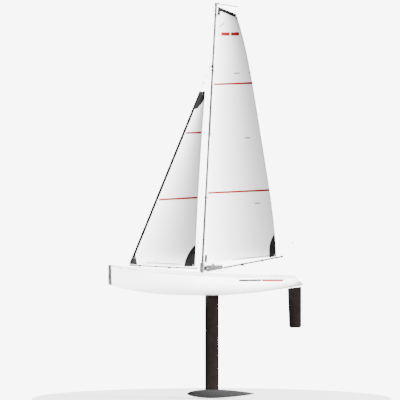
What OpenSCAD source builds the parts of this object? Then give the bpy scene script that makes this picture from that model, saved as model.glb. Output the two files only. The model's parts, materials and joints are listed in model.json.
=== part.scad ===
// Radio-controlled racing yacht: hull, fin keel, two sails on swinging booms, rudder and radio gear.
// X runs aft, Y to starboard, Z up. The origin is under the keel fin, at the lowest point of the hull.

/* [Hull] */
// Overall length, from the bow bumper to the transom
hull_length = 650; // [560:1:800]
// Distance from the bow to the middle of the keel fin
keel_from_bow = 346; // [300:1:400]
// Beam of the hull at its widest
hull_beam = 116; // [96:1:142]
// Height of the foredeck ridge at the stem above the hull's lowest point
stem_top = 102; // [90:1:125]
// Height of the deck ridge at the transom
stern_top = 67; // [58:1:80]
// Rise of the keel line at the stem
bow_rise = 33.5; // [25:0.5:42]
// Rise of the keel line at the transom
stern_rise = 34.5; // [26:0.5:42]
// Wall thickness of the hull moulding
hull_wall = 1.5; // [1.2:0.1:2.2]
// Wall thickness of the deck moulding
deck_wall = 1.8; // [1.5:0.1:2.4]
// Height of the deck's crown above its edges at the widest beam
deck_crown = 8; // [6:0.5:11]
// Length of the rubber bumper ahead of the stem
bumper_length = 10; // [8:0.5:14]

/* [Keel] */
// Chord of the keel fin
fin_chord = 45; // [36:1:54]
// Greatest thickness of the keel fin
fin_thickness = 6; // [5:0.5:7.5]
// Length of the fin between the hull and the bulb
fin_span = 314; // [250:1:400]
// Length of the ballast bulb
bulb_length = 227; // [180:1:280]
// Greatest diameter of the ballast bulb
bulb_diameter = 28.5; // [24:0.5:36]

/* [Mast] */
// Length of the mast above its foot
mast_length = 900; // [740:5:1100]
// Outside diameter of the mast tube
mast_diameter = 7.5; // [6:0.1:9]
// Distance from the keel fin forward to the mast foot
mast_ahead = 33; // [31:0.5:50]
// Rake of the mast towards the stern, in degrees
mast_rake = 3.04; // [1:0.1:5]
// Distance up the mast to the forestay hounds
hounds_up = 687; // [560:1:730]
// Length of the crane that holds the backstay off the sail
crane_length = 80; // [72:1:96]

/* [Sails] */
// Length of the main boom from the mast to its end
boom_length = 274; // [235:1:330]
// Outside diameter of the main boom
boom_diameter = 5; // [4:0.1:6]
// Upward slope of the main boom, in degrees
boom_slope = 10.86; // [8:0.1:12]
// Length of the jib boom
jib_boom_length = 224; // [190:1:268]
// Outside diameter of the jib boom
jib_boom_diameter = 4; // [3.4:0.1:4.8]
// Downward slope of the jib boom, in degrees
jib_boom_slope = 2.8; // [1:0.1:4]
// Depth of the curve in the sails, as a share of their width
sail_draft = 0.065; // [0.04:0.005:0.09]
// Thickness of the sail film with its tapes
sail_thickness = 0.6; // [0.5:0.1:1]

/* [Steering] */
// Height of the rudder blade
rudder_height = 133; // [110:1:160]
// Chord of the rudder blade at its top
rudder_chord = 45; // [38:1:54]
// Distance from the transom forward to the rudder stock
rudder_from_stern = 39; // [36:1:50]
// Diameter of the rudder stock
stock_diameter = 3; // [2.5:0.1:4]
// Length of the tiller arm and of the servo horn that drives it
tiller_reach = 12; // [10:0.5:15]
// Distance between the rudder servo's shaft and the rudder stock
pushrod_length = 72; // [60:1:90]

/* [Radio gear] */
// Distance from the keel fin aft to the sail servo's shaft
sail_servo_x = 50; // [48:0.5:60]
// Reach of the sail servo's arm to the sheets
sail_arm_reach = 42; // [36:0.5:48]
// Diameter of one battery cell
cell_diameter = 14.5; // [10:0.5:17]
// Length of one battery cell
cell_length = 50.5; // [44:0.5:60]

/* [Deck hatch] */
// Distance from the keel fin aft to the middle of the hatch
hatch_x = 150; // [142:1:160]
// Length of the hatch opening
hatch_length = 84; // [70:1:101]
// Width of the hatch opening
hatch_width = 54; // [44:1:60]

/* [Hidden] */

// Hull form
stem_x = bumper_length - keel_from_bow;
stern_x = hull_length - keel_from_bow;
stem_half_width = 5;
transom_half_width = 0.62 * hull_beam / 2;
widest_share = 0.52;
stern_cut = 22;
stern_drop = 18;
cut_x = stern_x - stern_cut;
deck_flange = 4;
stem_block = 5;
section_steps = 8;

function along(x) = (x - stem_x) / (stern_x - stem_x);
function level_ridge(x) = stern_top + (stem_top - stern_top) * pow(max(0, 1 - along(x)), 2.06);
function ridge_z(x) = level_ridge(x) - (x > cut_x ? stern_drop * (x - cut_x) / stern_cut : 0);
function bottom_z(x) = x < 0 ? bow_rise * pow(x / stem_x, 3) : stern_rise * pow(x / stern_x, 1.65);
function bow_beam(u) =
    stem_half_width + (hull_beam / 2 - stem_half_width) * sin(90 * pow(u / widest_share, 0.9));
function stern_beam(u) =
    transom_half_width + (hull_beam / 2 - transom_half_width)
    * cos(90 * pow((u - widest_share) / (1 - widest_share), 1.6));
function half_beam(x) = along(x) < widest_share ? bow_beam(max(0, along(x))) : stern_beam(along(x));
function crown(x) = deck_crown * pow(half_beam(x) / (hull_beam / 2), 0.6);
function gunwale_z(x) = ridge_z(x) - crown(x);
function rim_z(x) = gunwale_z(x) - deck_wall;
function fullness(x) = 1.35 + 0.9 * min(1, max(0, along(x)) / 0.45);
function flange(x) = min(deck_flange, 0.4 * half_beam(x));
function deck_z(x, y) =
    gunwale_z(x) + crown(x) * max(0, 1 - pow(y / (half_beam(x) - flange(x)), 2));

hatch_start = hatch_x - hatch_length / 2;
hatch_end = hatch_x + hatch_length / 2;
fore_count = 16;
hatch_count = 4;
aft_count = 3;
hull_stations = [
    stem_x,
    for (i = [0:fore_count])
        stem_x + stem_block + (hatch_start - stem_x - stem_block) * pow(i / fore_count, 1.2),
    for (i = [1:hatch_count]) hatch_start + hatch_length * i / hatch_count,
    for (i = [1:aft_count]) hatch_end + (cut_x - hatch_end) * i / aft_count,
    (cut_x + stern_x) / 2,
    stern_x - hull_wall,
    stern_x
];

function rib(x, inset, y_share, z_share) = [
    x, (half_beam(x) - inset) * y_share, rim_z(x) - (rim_z(x) - bottom_z(x) - inset) * z_share
];
function ribs(x, inset) = [
    for (i = [-section_steps:section_steps])
        let (angle = 90 * i / section_steps, power = 2 / fullness(x))
        rib(x, inset, sign(i) * pow(abs(sin(angle)), power), pow(cos(angle), power))
];

// Lines along the deck: its edges, the hatch's sides and the ones between
function hatch_line(x) = min(hatch_width / 2, 0.6 * (half_beam(x) - flange(x)));
function deck_lines(x) =
    let (h = hatch_line(x), edge = half_beam(x) - flange(x))
    [h / 2, h, (2 * h + edge) / 3, (h + 2 * edge) / 3, edge, half_beam(x)];
function deck_row(x) =
    let (lines = deck_lines(x), last = len(lines) - 1)
    concat([for (i = [last:-1:0]) [x, -lines[i]]], [[x, 0]], [for (y = lines) [x, y]]);
deck_rows = [for (x = hull_stations) deck_row(x)];
hatch_rows = [fore_count + 1, fore_count + 1 + hatch_count];
hatch_columns = [4, 8];
no_hole = [[0, 0], [0, 0]];

// Solid through a list of closed rings, which all have the same number of points
module loft(rings) {
    count = len(rings[0]);
    last = len(rings) - 1;
    sides = [
        for (i = [0:last - 1], j = [0:count - 1])
            let (a = i * count + j, b = i * count + (j + 1) % count)
            each [[a, b, b + count], [a, b + count, a + count]]
    ];
    cap = [
        for (j = [0:floor((count - 1) / 2) - 1])
            let (mate = count - 1 - j)
            each j + 1 == mate - 1 ? [[j, j + 1, mate]] : [[j, j + 1, mate], [j + 1, mate - 1, mate]]
    ];
    first_cap = [for (face = cap) [face[2], face[1], face[0]]];
    last_cap = [for (face = cap) [for (k = face) last * count + k]];
    polyhedron(points = [for (ring = rings) each ring], faces = concat(sides, first_cap, last_cap));
}

// Straight round bar between two points
module bar(from, to, diameter) {
    run = to - from;
    translate(from)
        rotate([0, acos(run.z / norm(run)), atan2(run.y, run.x)])
            cylinder(h = norm(run), d = diameter, $fn = 24);
}

// Sheet that follows the deck, between two depths below its top. Hole gives the rows and columns left out.
module deck_sheet(rows, upper, lower, hole) {
    wide = len(rows[0]);
    long = len(rows);
    under = wide * long;
    function solid(i, j) =
        i >= 0 && i < long - 1 && j >= 0 && j < wide - 1
        && !(i >= hole[0][0] && i < hole[0][1] && j >= hole[1][0] && j < hole[1][1]);
    function wall(a, b) = [[a, b, b + under], [a, b + under, a + under]];
    points = concat(
        [for (row = rows, p = row) [p.x, p.y, deck_z(p.x, p.y) - upper]],
        [for (row = rows, p = row) [p.x, p.y, deck_z(p.x, p.y) - lower]]
    );
    faces = [
        for (i = [0:long - 2], j = [0:wide - 2]) if (solid(i, j))
            let (a = i * wide + j, b = a + 1, c = a + wide + 1, d = a + wide)
            each concat(
                [[a, b, c], [a, c, d], [under + c, under + b, under + a], [under + d, under + c, under + a]],
                solid(i - 1, j) ? [] : wall(b, a),
                solid(i + 1, j) ? [] : wall(d, c),
                solid(i, j - 1) ? [] : wall(a, d),
                solid(i, j + 1) ? [] : wall(c, b)
            )
    ];
    polyhedron(points = points, faces = faces);
}

// Open shell between the outer ribs and the inner ones, with solid ends and a flat rim for the deck
module hull_moulding() {
    outer = [for (x = hull_stations) ribs(x, 0)];
    last = len(outer) - 1;
    inner = [for (i = [1:last - 1]) ribs(hull_stations[i], hull_wall)];
    count = len(outer[0]);
    inside = count * (last + 1);
    function out(i, j) = i * count + j;
    function in(i, j) = inside + (i - 1) * count + j;
    cap = [
        for (j = [0:(count - 1) / 2 - 1])
            let (mate = count - 1 - j)
            each j + 1 == mate - 1 ? [[j, j + 1, mate]] : [[j, j + 1, mate], [j + 1, mate - 1, mate]]
    ];
    skin = [
        for (i = [0:last - 1], j = [0:count - 2])
            each [
                [out(i, j), out(i, j + 1), out(i + 1, j + 1)],
                [out(i, j), out(i + 1, j + 1), out(i + 1, j)]
            ]
    ];
    lining = [
        for (i = [1:last - 2], j = [0:count - 2])
            each [
                [in(i, j), in(i + 1, j + 1), in(i, j + 1)],
                [in(i, j), in(i + 1, j), in(i + 1, j + 1)]
            ]
    ];
    far = count - 1;
    rim = [
        for (i = [1:last - 2]) each [
            [out(i, 0), out(i + 1, 0), in(i + 1, 0)], [out(i, 0), in(i + 1, 0), in(i, 0)],
            [out(i, far), in(i + 1, far), out(i + 1, far)], [out(i, far), in(i, far), in(i + 1, far)]
        ]
    ];
    e = last - 1;
    ends = [
        [out(0, 0), out(1, 0), in(1, 0)], [out(0, 0), in(1, 0), in(1, far)],
        [out(0, 0), in(1, far), out(1, far)], [out(0, 0), out(1, far), out(0, far)],
        [out(last, 0), in(e, 0), out(e, 0)], [out(last, 0), in(e, far), in(e, 0)],
        [out(last, 0), out(e, far), in(e, far)], [out(last, 0), out(last, far), out(e, far)]
    ];
    caps = [for (f = cap) each [
        [out(0, f[2]), out(0, f[1]), out(0, f[0])], [out(last, f[0]), out(last, f[1]), out(last, f[2])],
        [in(1, f[0]), in(1, f[1]), in(1, f[2])], [in(e, f[2]), in(e, f[1]), in(e, f[0])]
    ]];
    polyhedron(
        points = [for (ring = concat(outer, inner)) each ring],
        faces = [for (face = concat(skin, lining, rim, ends, caps)) [face[2], face[1], face[0]]]
    );
}

// Keel
rod_diameter = 3;
rod_x = -0.2 * fin_chord;
fin_sunk = 8;
tang_top = 34;
keel_box_top = 38;
keel_plate = 3;
keel_plate_top = keel_box_top + keel_plate;
box_margin = 3;
keel_box_floor = hull_wall + bottom_z(fin_chord / 2 + box_margin) + 0.2;
bulb_z = -fin_span - bulb_diameter / 2;
bulb_nose_share = 0.365;
bolt_head = 6;

function foil(t) =
    5 * (0.2969 * sqrt(t) - 0.126 * t - 0.3516 * t * t + 0.2843 * pow(t, 3) - 0.1036 * pow(t, 4));
foil_steps = 12;
foil_shares = [for (i = [0:foil_steps]) pow(i / foil_steps, 1.6)];
module foil_outline(chord, thickness) {
    upper = [for (t = foil_shares) [chord * t, thickness * foil(t)]];
    lower = [for (i = [foil_steps - 1:-1:1]) [chord * foil_shares[i], -thickness * foil(foil_shares[i])]];
    polygon(concat(upper, lower));
}
module fin_prism(low, high)
    translate([-fin_chord / 2, 0, low])
        linear_extrude(high - low)
            foil_outline(fin_chord, fin_thickness);

// Mast and rig lines
foot_x = -mast_ahead;
foot_z = ridge_z(foot_x) + 2.6;
mast_wall = 1;
joint_up = 0.5 * mast_length;
joiner_length = 60;
spigot_length = 24;
post_diameter = 9;
mast_direction = [sin(mast_rake), 0, cos(mast_rake)];
function mast_point(up) = [foot_x, 0, foot_z] + up * mast_direction;
module on_mast(up) translate(mast_point(up)) rotate([0, mast_rake, 0]) children();
cap_height = 10;
crane_diameter = 3;
crane_drop = 0.18 * crane_length;
crane_start = mast_point(mast_length - 3) + [mast_diameter / 2 + 0.8, 0, 0];
crane_end = mast_point(mast_length) + [crane_length - 7, 0, -crane_drop];
line_diameter = 0.8;
eye_x = stern_x - 7;
eye_diameter = 3;
eye_rise = 3;
backstay_low = [eye_x, 0, ridge_z(eye_x) + eye_rise];
function backstay_at(share) = backstay_low + share * (crane_end - backstay_low);

// Swing axis of the jib, from its deck seat to the hounds
jib_pivot_x = -240;
seat_diameter = 6;
jib_low = [jib_pivot_x, 0, ridge_z(jib_pivot_x) + 2.5];
hounds_reach = mast_diameter / 2 + 5.5;
jib_high = mast_point(hounds_up) - [hounds_reach, 0, 0];
jib_axis = jib_high - jib_low;
jib_lean = atan2(jib_axis.x, jib_axis.z);
module on_jib_axis(up)
    translate(jib_low + up * jib_axis / norm(jib_axis)) rotate([0, jib_lean, 0]) children();
swivel_diameter = 1.6;
running_gap = 0.1;

// Main boom: a point some way along it, measured from the mast
function boom_point(run) =
    [foot_x + run * cos(boom_slope), 0, foot_z - 0.4 + run * sin(boom_slope)];
module on_boom(run) translate(boom_point(run)) rotate([0, -boom_slope, 0]) children();
collar_diameter = mast_diameter + 8;
collar_low = 0.4;
collar_height = 28;
vang_start = foot_x + collar_diameter / 2 + 6.4;
vang_length = 55.5;
vang_end = vang_start + vang_length;
vang_top = foot_z + 21.8;
vang_width = boom_diameter + 4;
vang_floor = foot_z - 1;
tongue_thickness = 3;
tongue_reach = 6;
pin_diameter = 2.5;
pin_spot = [vang_start + tongue_reach / 2, 0, foot_z + 11];
boom_socket = vang_start + 20;
wheel_x = vang_start + 23.5;
wheel_diameter = 10.5;
wheel_height = 6;
wheel_stem = 4;
wheel_gap = 0.4;

// Jib boom: a point some way along it, measured from its forward end
jib_boom_start = [jib_pivot_x - 34, 0, jib_low.z + 6.4];
function jib_boom_point(run) =
    jib_boom_start + run * [cos(jib_boom_slope), 0, -sin(jib_boom_slope)];
module on_jib_boom(run) translate(jib_boom_point(run)) rotate([0, jib_boom_slope, 0]) children();

// Sails: each point comes from its share of the chord and its share of the height
sheet_gap = 0.2;
patch_thickness = 0.3;
luff_gap = 6.5;
main_tack = mast_point(30) + [luff_gap, 0, 0];
main_head = mast_point(mast_length - 13) + [luff_gap, 0, 0];
main_clew = boom_point(boom_length - 22) + [0, 0, boom_diameter / 2 + 1.6];
main_peak = mast_point(mast_length) + [0.83 * crane_length, 0, -38];
main_roach = 17;
function belly(s) = 4 * s * (1 - s) * (1.25 - 0.5 * s);
function roach(v) = main_roach * (1 - pow(abs(2 * v - 1), 4)) * (0.85 + 0.2 * v);
function main_luff(v) = main_tack + v * (main_head - main_tack);
function main_leech(v) = main_clew + v * (main_peak - main_clew) + [roach(v), 0, 0];
function main_point(s, v) =
    let (luff = main_luff(v), leech = main_leech(v))
    luff + s * (leech - luff) + [0, sail_draft * norm(leech - luff) * belly(s), 0];

luff_band = 8;
jib_tack = jib_boom_start + [0, 0, 4.5];
sleeve_front = 2;
jib_knot = jib_low + (norm(jib_axis) - 7.6) * jib_axis / norm(jib_axis);
jib_luff_line = jib_knot - jib_tack;
jib_head = jib_tack + 0.885 * jib_luff_line;
jib_band_lean = atan2(jib_luff_line.x, jib_luff_line.z);
band_side = [cos(jib_band_lean), 0, -sin(jib_band_lean)];
jib_foot_end = jib_boom_point(jib_boom_length - 6) + [0, 0, 6.5];
jib_leech_top = jib_head + [12 + 0.6 * luff_band, 0, 0];
jib_hollow = 3;
function jib_luff(v) = jib_tack + (luff_band - sleeve_front) * band_side + v * (jib_head - jib_tack);
function jib_leech(v) =
    jib_foot_end + v * (jib_leech_top - jib_foot_end) - [jib_hollow * 4 * v * (1 - v), 0, 0];
function jib_point(s, v) =
    let (luff = jib_luff(v), leech = jib_leech(v))
    luff + s * (leech - luff) + [0, sail_draft * norm(leech - luff) * belly(s), 0];

// Thin film over rows of points, from one distance to another beside their surface
module film(rows, from, to) {
    loft([for (row = rows) concat(
        [for (p = row) p + [0, to, 0]],
        [for (i = [len(row) - 1:-1:0]) row[i] + [0, from, 0]]
    )]);
}
// The shares at which each sail is divided. Some of them bound every patch, so it lies on the same facets.
main_across = [0, 0.035, 0.1, 0.2, 0.3, 0.4, 0.5, 0.6, 0.7, 0.8, 0.9, 1];
main_up = [0, 0.031, 0.09, for (i = [0:13]) 0.15 + 0.06 * i, 0.985, 1];
jib_across = [0, 0.1, 0.22, 0.34, 0.46, 0.58, 0.7, 0.83, 0.915, 1];
jib_up = [0, 0.055, 0.12, for (i = [0:8]) 0.2 + 0.08 * i, 0.9, 0.95, 1];
function within(shares, low, high) = [for (share = shares) if (share >= low && share <= high) share];
function main_rows(across, up) = [
    for (v = within(main_up, up[0], up[1])) [
        for (s = within(main_across, across[0], across[1])) main_point(s, v)
    ]
];
function jib_rows(across, up) = [
    for (v = within(jib_up, up[0], up[1])) [
        for (s = within(jib_across, across[0], across[1])) jib_point(s, v)
    ]
];
module both_faces(rows) {
    near = sail_thickness / 2 + sheet_gap;
    film(rows, near, near + patch_thickness);
    film(rows, -near - patch_thickness, -near);
}

// Radio gear
tray_z = 32;
tray_thickness = 2;
tray_top = tray_z + tray_thickness;
tray_start = sail_servo_x - 22;
tray_half_width = 28;
bulkhead = 2.5;
rudder_x = stern_x - rudder_from_stern;
rudder_servo_x = rudder_x - pushrod_length;
tray_end = rudder_servo_x + 15;
sail_servo_size = [40, 20, 36];
rudder_servo_size = [23, 12.5, 22];
flange_thickness = 2;
servo_fit = 0.3;
servo_screw = 2;
sail_flange_up = 26;
rudder_flange_up = 11;
sail_shaft_in = 10;
rudder_shaft_in = 6;
shaft_diameter = 5;
horn_z = tray_top + rudder_servo_size.z - rudder_flange_up + 2;
sail_arm_z = tray_top + sail_servo_size.z - sail_flange_up + 2;
arm_thickness = 2;
arm_rest = 150;
battery_x = sail_servo_x + 43;
battery_wall = 1.2;
battery_length = cell_length + 2 * battery_wall + 2;
battery_width = 2 * cell_diameter + 2 * battery_wall + 0.6;
battery_height = 2 * cell_diameter + battery_wall;
receiver_size = [36, 10, 20];
switch_size = [22, 9, 10];
slider_size = [6, 4, 3];
slider_travel = 4;
rudder_tube_diameter = stock_diameter + 3;
rudder_tube_top = horn_z - 3;
link_diameter = 1.4;

// Deck openings
seal_thickness = 1;
ledge_thickness = 1.5;
ledge_outside = 3;
ledge_width = 4;
lid_gap = 0.5;
plug_x = hatch_x + hatch_length / 2 + 24;
plug_diameter = 8;
main_bush_x = 39;
jib_bush_x = -92;
bush_diameter = 4;
bush_bore = 2;
bush_rise = 1.6;

module hull_shell() color("white") difference() {
    hull_moulding();
    fin_prism(-1, keel_box_top);
    translate([rudder_x, 0, 0]) cylinder(h = stem_top, d = rudder_tube_diameter);
}

// Rows of points over the hatch, grown or shrunk by a margin
function hatch_grid(margins) = [
    for (x = concat(
        [for (m = margins) hatch_start - m],
        [for (i = [1:hatch_count - 1]) hatch_start + hatch_length * i / hatch_count],
        [for (k = [len(margins) - 1:-1:0]) hatch_end + margins[k]]
    )) [for (y = concat(
        [for (m = margins) -hatch_width / 2 - m],
        [-hatch_width / 4, 0, hatch_width / 4],
        [for (k = [len(margins) - 1:-1:0]) hatch_width / 2 + margins[k]]
    )) [x, y]]
];
frame_hole = [[1, 5], [1, 5]];
module deck() color("whitesmoke") {
    difference() {
        deck_sheet(deck_rows, 0, deck_wall, [hatch_rows, hatch_columns]);
        on_mast(-20) cylinder(h = 40, d = post_diameter);
        translate([jib_pivot_x, 0, 0]) cylinder(h = stem_top, d = seat_diameter);
        for (x = [main_bush_x, jib_bush_x])
            translate([x, 0, 0]) cylinder(h = stem_top, d = bush_diameter);
        translate([plug_x, 0, 0]) cylinder(h = stem_top, d = plug_diameter + 2 * running_gap);
        translate([eye_x, 0, 0]) cylinder(h = stem_top, d = eye_diameter);
    }
    deck_sheet(
        hatch_grid([ledge_outside, -ledge_width]),
        deck_wall + seal_thickness + 0.2, deck_wall + seal_thickness + ledge_thickness, frame_hole
    );
}
module hatch_seal() color("dimgray")
    deck_sheet(
        hatch_grid([ledge_outside, -ledge_width]),
        deck_wall + 0.1, deck_wall + seal_thickness + 0.1, frame_hole
    );
module hatch_lid() color("white") deck_sheet(hatch_grid([-lid_gap]), 0, deck_wall - 0.1, no_hole);

module bow_bumper() color("black") {
    rounding = 8;
    low = bottom_z(stem_x) + 0.5;
    intersection() {
        translate([0, 0, low]) linear_extrude(stem_top - low) {
            translate([stem_x - bumper_length + stem_half_width, 0]) circle(stem_half_width, $fn = 40);
            translate([stem_x - bumper_length + stem_half_width, -stem_half_width])
                square([bumper_length - stem_half_width, 2 * stem_half_width]);
        }
        rotate([90, 0, 0]) translate([0, 0, -stem_half_width - 1]) linear_extrude(2 * stem_half_width + 2) {
            translate([stem_x - bumper_length + rounding, low + rounding]) circle(rounding, $fn = 40);
            translate([stem_x - bumper_length + rounding, low]) square([bumper_length, stem_top - low]);
            translate([stem_x - bumper_length, low + rounding]) square([rounding, stem_top - low - rounding]);
        }
    }
}

module keel_box() color("lightgray") difference() {
    half_length = fin_chord / 2 + box_margin;
    width = fin_thickness + 2 * box_margin;
    plate_start = foot_x - post_diameter;
    union() {
        translate([-half_length, -width / 2, keel_box_floor])
            cube([2 * half_length, width, keel_box_top - keel_box_floor]);
        translate([plate_start, -width / 2, keel_box_top])
            cube([half_length - plate_start, width, keel_plate]);
    }
    fin_prism(-2, tang_top);
    translate([rod_x, 0, 0]) cylinder(h = 2 * keel_box_top, d = rod_diameter);
}
module keel_fin() color("black") difference() {
    fin_prism(-fin_span - fin_sunk, tang_top);
    translate([rod_x, 0, -fin_span - 2 * fin_sunk])
        cylinder(h = fin_span + tang_top + 3 * fin_sunk, d = rod_diameter);
}
module keel_rod() color("silver")
    translate([rod_x, 0, -fin_span + 2 * fin_sunk])
        cylinder(h = fin_span - 2 * fin_sunk + keel_plate_top + 4.5, d = rod_diameter);
module keel_nut() color("silver") translate([rod_x, 0, keel_plate_top]) difference() {
    union() {
        cylinder(h = 0.6, d = 2.4 * rod_diameter);
        translate([0, 0, 0.6]) cylinder(h = 2.4, d = 2.1 * rod_diameter, $fn = 6);
    }
    translate([0, 0, -1]) cylinder(h = 5, d = rod_diameter);
}
bulb_steps = 20;
function swell(t) =
    t <= 0 || t >= 1 ? 0
    : bulb_diameter / 2 * pow(sin(180 * pow(t, ln(0.5) / ln(bulb_nose_share))), 0.75);
module ballast_bulb() color("dimgray") {
    outline = [for (i = [0:bulb_steps]) [swell(i / bulb_steps), bulb_length * i / bulb_steps]];
    difference() {
        translate([-bulb_nose_share * bulb_length, 0, bulb_z])
            rotate([0, 90, 0])
                rotate_extrude($fn = 48)
                    polygon(outline);
        fin_prism(-fin_span - fin_sunk, 0);
        translate([rod_x, 0, bulb_z - bulb_diameter]) cylinder(h = 2 * bulb_diameter, d = rod_diameter);
        translate([rod_x, 0, bulb_z - bulb_diameter]) cylinder(h = 0.6 * bulb_diameter, d = bolt_head);
    }
}
module bulb_bolt() color("silver") translate([rod_x, 0, bulb_z - 0.4 * bulb_diameter]) difference() {
    union() {
        translate([0, 0, -3]) cylinder(h = 3, d = bolt_head);
        cylinder(h = 0.9 * bulb_diameter + 2 * fin_sunk - 4, d = rod_diameter);
    }
    translate([0, 0, -3.5]) cylinder(h = 2, d = 2.5, $fn = 6);
}

module mast_step() color("darkslategray") {
    intersection() {
        on_mast(-60) cylinder(h = 60, d = post_diameter);
        translate([-hull_length / 2, -hull_beam, keel_plate_top])
            cube([hull_length, 2 * hull_beam, stem_top]);
    }
    on_mast(-1.6) cylinder(h = 1.6, d = mast_diameter + 6);
    on_mast(0) cylinder(h = spigot_length, d = mast_diameter - 2 * mast_wall);
}
module mast_tube(from, to) on_mast(from) difference() {
    cylinder(h = to - from, d = mast_diameter);
    translate([0, 0, -1]) cylinder(h = to - from + 2, d = mast_diameter - 2 * mast_wall);
}
module mast_lower() color("dimgray") mast_tube(0, joint_up);
module mast_upper() color("dimgray") mast_tube(joint_up, mast_length - 3);
module mast_joiner() color("silver")
    on_mast(joint_up - joiner_length / 2) cylinder(h = joiner_length, d = mast_diameter - 2 * mast_wall);
module masthead_cap() color("black") difference() {
    union() {
        on_mast(mast_length - cap_height) cylinder(h = cap_height, d = mast_diameter + 1.6);
        on_mast(mast_length - 3) translate([0, -2, -3]) cube([mast_diameter / 2 + 5, 4, 6]);
    }
    on_mast(mast_length - cap_height - 1) cylinder(h = cap_height - 2, d = mast_diameter);
    bar(crane_start, crane_end, crane_diameter);
}
module crane_rod() color("dimgray") {
    bar(crane_start, crane_end, crane_diameter);
}
module hounds_fitting() color("black") difference() {
    union() {
        on_mast(hounds_up - 3.5) cylinder(h = 7, d = mast_diameter + 3);
        translate(jib_high - [3, 2.5, 1]) cube([hounds_reach + 3, 5, 2]);
    }
    on_mast(hounds_up - 8) cylinder(h = 16, d = mast_diameter);
    on_jib_axis(norm(jib_axis) - 5) cylinder(h = 10, d = swivel_diameter + 2 * running_gap);
}
module mast_stop_ring() color("black")
    on_mast(collar_low + collar_height + 0.3) difference() {
        cylinder(h = 2.5, d = mast_diameter + 3);
        translate([0, 0, -1]) cylinder(h = 5, d = mast_diameter);
    }
module backstay() color("lightgray") bar(backstay_low, crane_end, line_diameter);
module backstay_bowsie() color("black") for (share = [0.125, 0.146, 0.16]) {
    size = share == 0.125 ? [2.4, 7] : [1.8, 2];
    step = size[1] / norm(crane_end - backstay_low);
    difference() {
        bar(backstay_at(share), backstay_at(share + step), size[0]);
        bar(backstay_at(0.1), backstay_at(0.2), line_diameter);
    }
}
module deck_eyes() color("silver") {
    bar([eye_x, 0, ridge_z(eye_x) - 5], backstay_low, eye_diameter);
}
module bush(x) translate([x, 0, ridge_z(x) - 5]) difference() {
    cylinder(h = 5 + bush_rise, d = bush_diameter);
    translate([0, 0, -1]) cylinder(h = 8 + bush_rise, d = bush_bore);
}
module sheet_bushes() color("gray") for (x = [main_bush_x, jib_bush_x]) bush(x);
module jib_pivot_seat() color("gray") difference() {
    translate([jib_pivot_x, 0, jib_low.z - 9]) cylinder(h = 9, d = seat_diameter);
    on_jib_axis(-7) cylinder(h = 14, d = swivel_diameter + 2 * running_gap);
}
module rudder_tube() color("gray") translate([rudder_x, 0, bottom_z(rudder_x) - 0.5]) difference() {
    cylinder(h = rudder_tube_top - bottom_z(rudder_x) + 0.5, d = rudder_tube_diameter);
    translate([0, 0, -1]) cylinder(h = rudder_tube_top, d = stock_diameter + running_gap);
}

module sail_servo_place() translate([sail_servo_x, 0, tray_top]) children();
module rudder_servo_place() translate([rudder_servo_x, 0, tray_top]) rotate(180) children();
module servo_box(size, shaft_in, flange_up, grow)
    translate([-shaft_in - grow, -size.y / 2 - grow, -flange_up - grow])
        cube([size.x + 2 * grow, size.y + 2 * grow, size.z + 2 * grow]);
module screw_spots(size, shaft_in, spread) for (x = [-3.5, size.x + 3.5], y = spread)
    translate([x - shaft_in, y, 0]) children();
sail_spread = [-5, 5];
rudder_spread = [0];
module servo(size, shaft_in, flange_up, spread) {
    difference() {
        union() {
            servo_box(size, shaft_in, flange_up, 0);
            translate([-shaft_in - 7, -size.y / 2, 0]) cube([size.x + 14, size.y, flange_thickness]);
        }
        screw_spots(size, shaft_in, spread) translate([0, 0, -1]) cylinder(h = 4, d = servo_screw);
    }
    translate([0, 0, size.z - flange_up - 1]) cylinder(h = 2.2, d = shaft_diameter + 4);
    translate([0, 0, size.z - flange_up]) cylinder(h = 3.6, d = shaft_diameter);
}
module sail_servo() color("black") sail_servo_place()
    servo(sail_servo_size, sail_shaft_in, sail_flange_up, sail_spread);
module rudder_servo() color("black") rudder_servo_place()
    servo(rudder_servo_size, rudder_shaft_in, rudder_flange_up, rudder_spread);
module screws(size, shaft_in, spread) screw_spots(size, shaft_in, spread) {
    translate([0, 0, flange_thickness]) cylinder(h = 1.2, d = 3.6);
    translate([0, 0, -tray_thickness]) cylinder(h = tray_thickness + flange_thickness, d = servo_screw);
}
module servo_screws() color("silver") {
    sail_servo_place() screws(sail_servo_size, sail_shaft_in, sail_spread);
    rudder_servo_place() screws(rudder_servo_size, rudder_shaft_in, rudder_spread);
}
// Upright plate below the tray, with the hull's own section
module bulkhead_plate(x) intersection() {
    translate([x, 0, 0]) rotate([90, 0, 90]) linear_extrude(bulkhead)
        polygon([for (p = ribs(x < 0 ? x : x + bulkhead, hull_wall + 0.4)) [p.y, p.z]]);
    translate([x, -hull_beam / 2, 0]) cube([bulkhead, hull_beam, tray_top]);
}
module radio_tray() color("gainsboro") difference() {
    union() {
        translate([tray_start, -tray_half_width, tray_z])
            cube([tray_end - tray_start, 2 * tray_half_width, tray_thickness]);
        bulkhead_plate(tray_start);
        bulkhead_plate(tray_end - bulkhead);
    }
    sail_servo_place() servo_box(sail_servo_size, sail_shaft_in, sail_flange_up, servo_fit);
    rudder_servo_place() servo_box(rudder_servo_size, rudder_shaft_in, rudder_flange_up, servo_fit);
    sail_servo_place() screw_spots(sail_servo_size, sail_shaft_in, sail_spread)
        translate([0, 0, -5]) cylinder(h = 6, d = servo_screw);
    rudder_servo_place() screw_spots(rudder_servo_size, rudder_shaft_in, rudder_spread)
        translate([0, 0, -5]) cylinder(h = 6, d = servo_screw);
}
module battery_box() color("darkslategray")
    translate([battery_x, -battery_width / 2, tray_top]) difference() {
        cube([battery_length, battery_width, battery_height]);
        translate([battery_wall, battery_wall, battery_wall])
            cube([battery_length - 2 * battery_wall, battery_width - 2 * battery_wall, battery_height]);
    }
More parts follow.
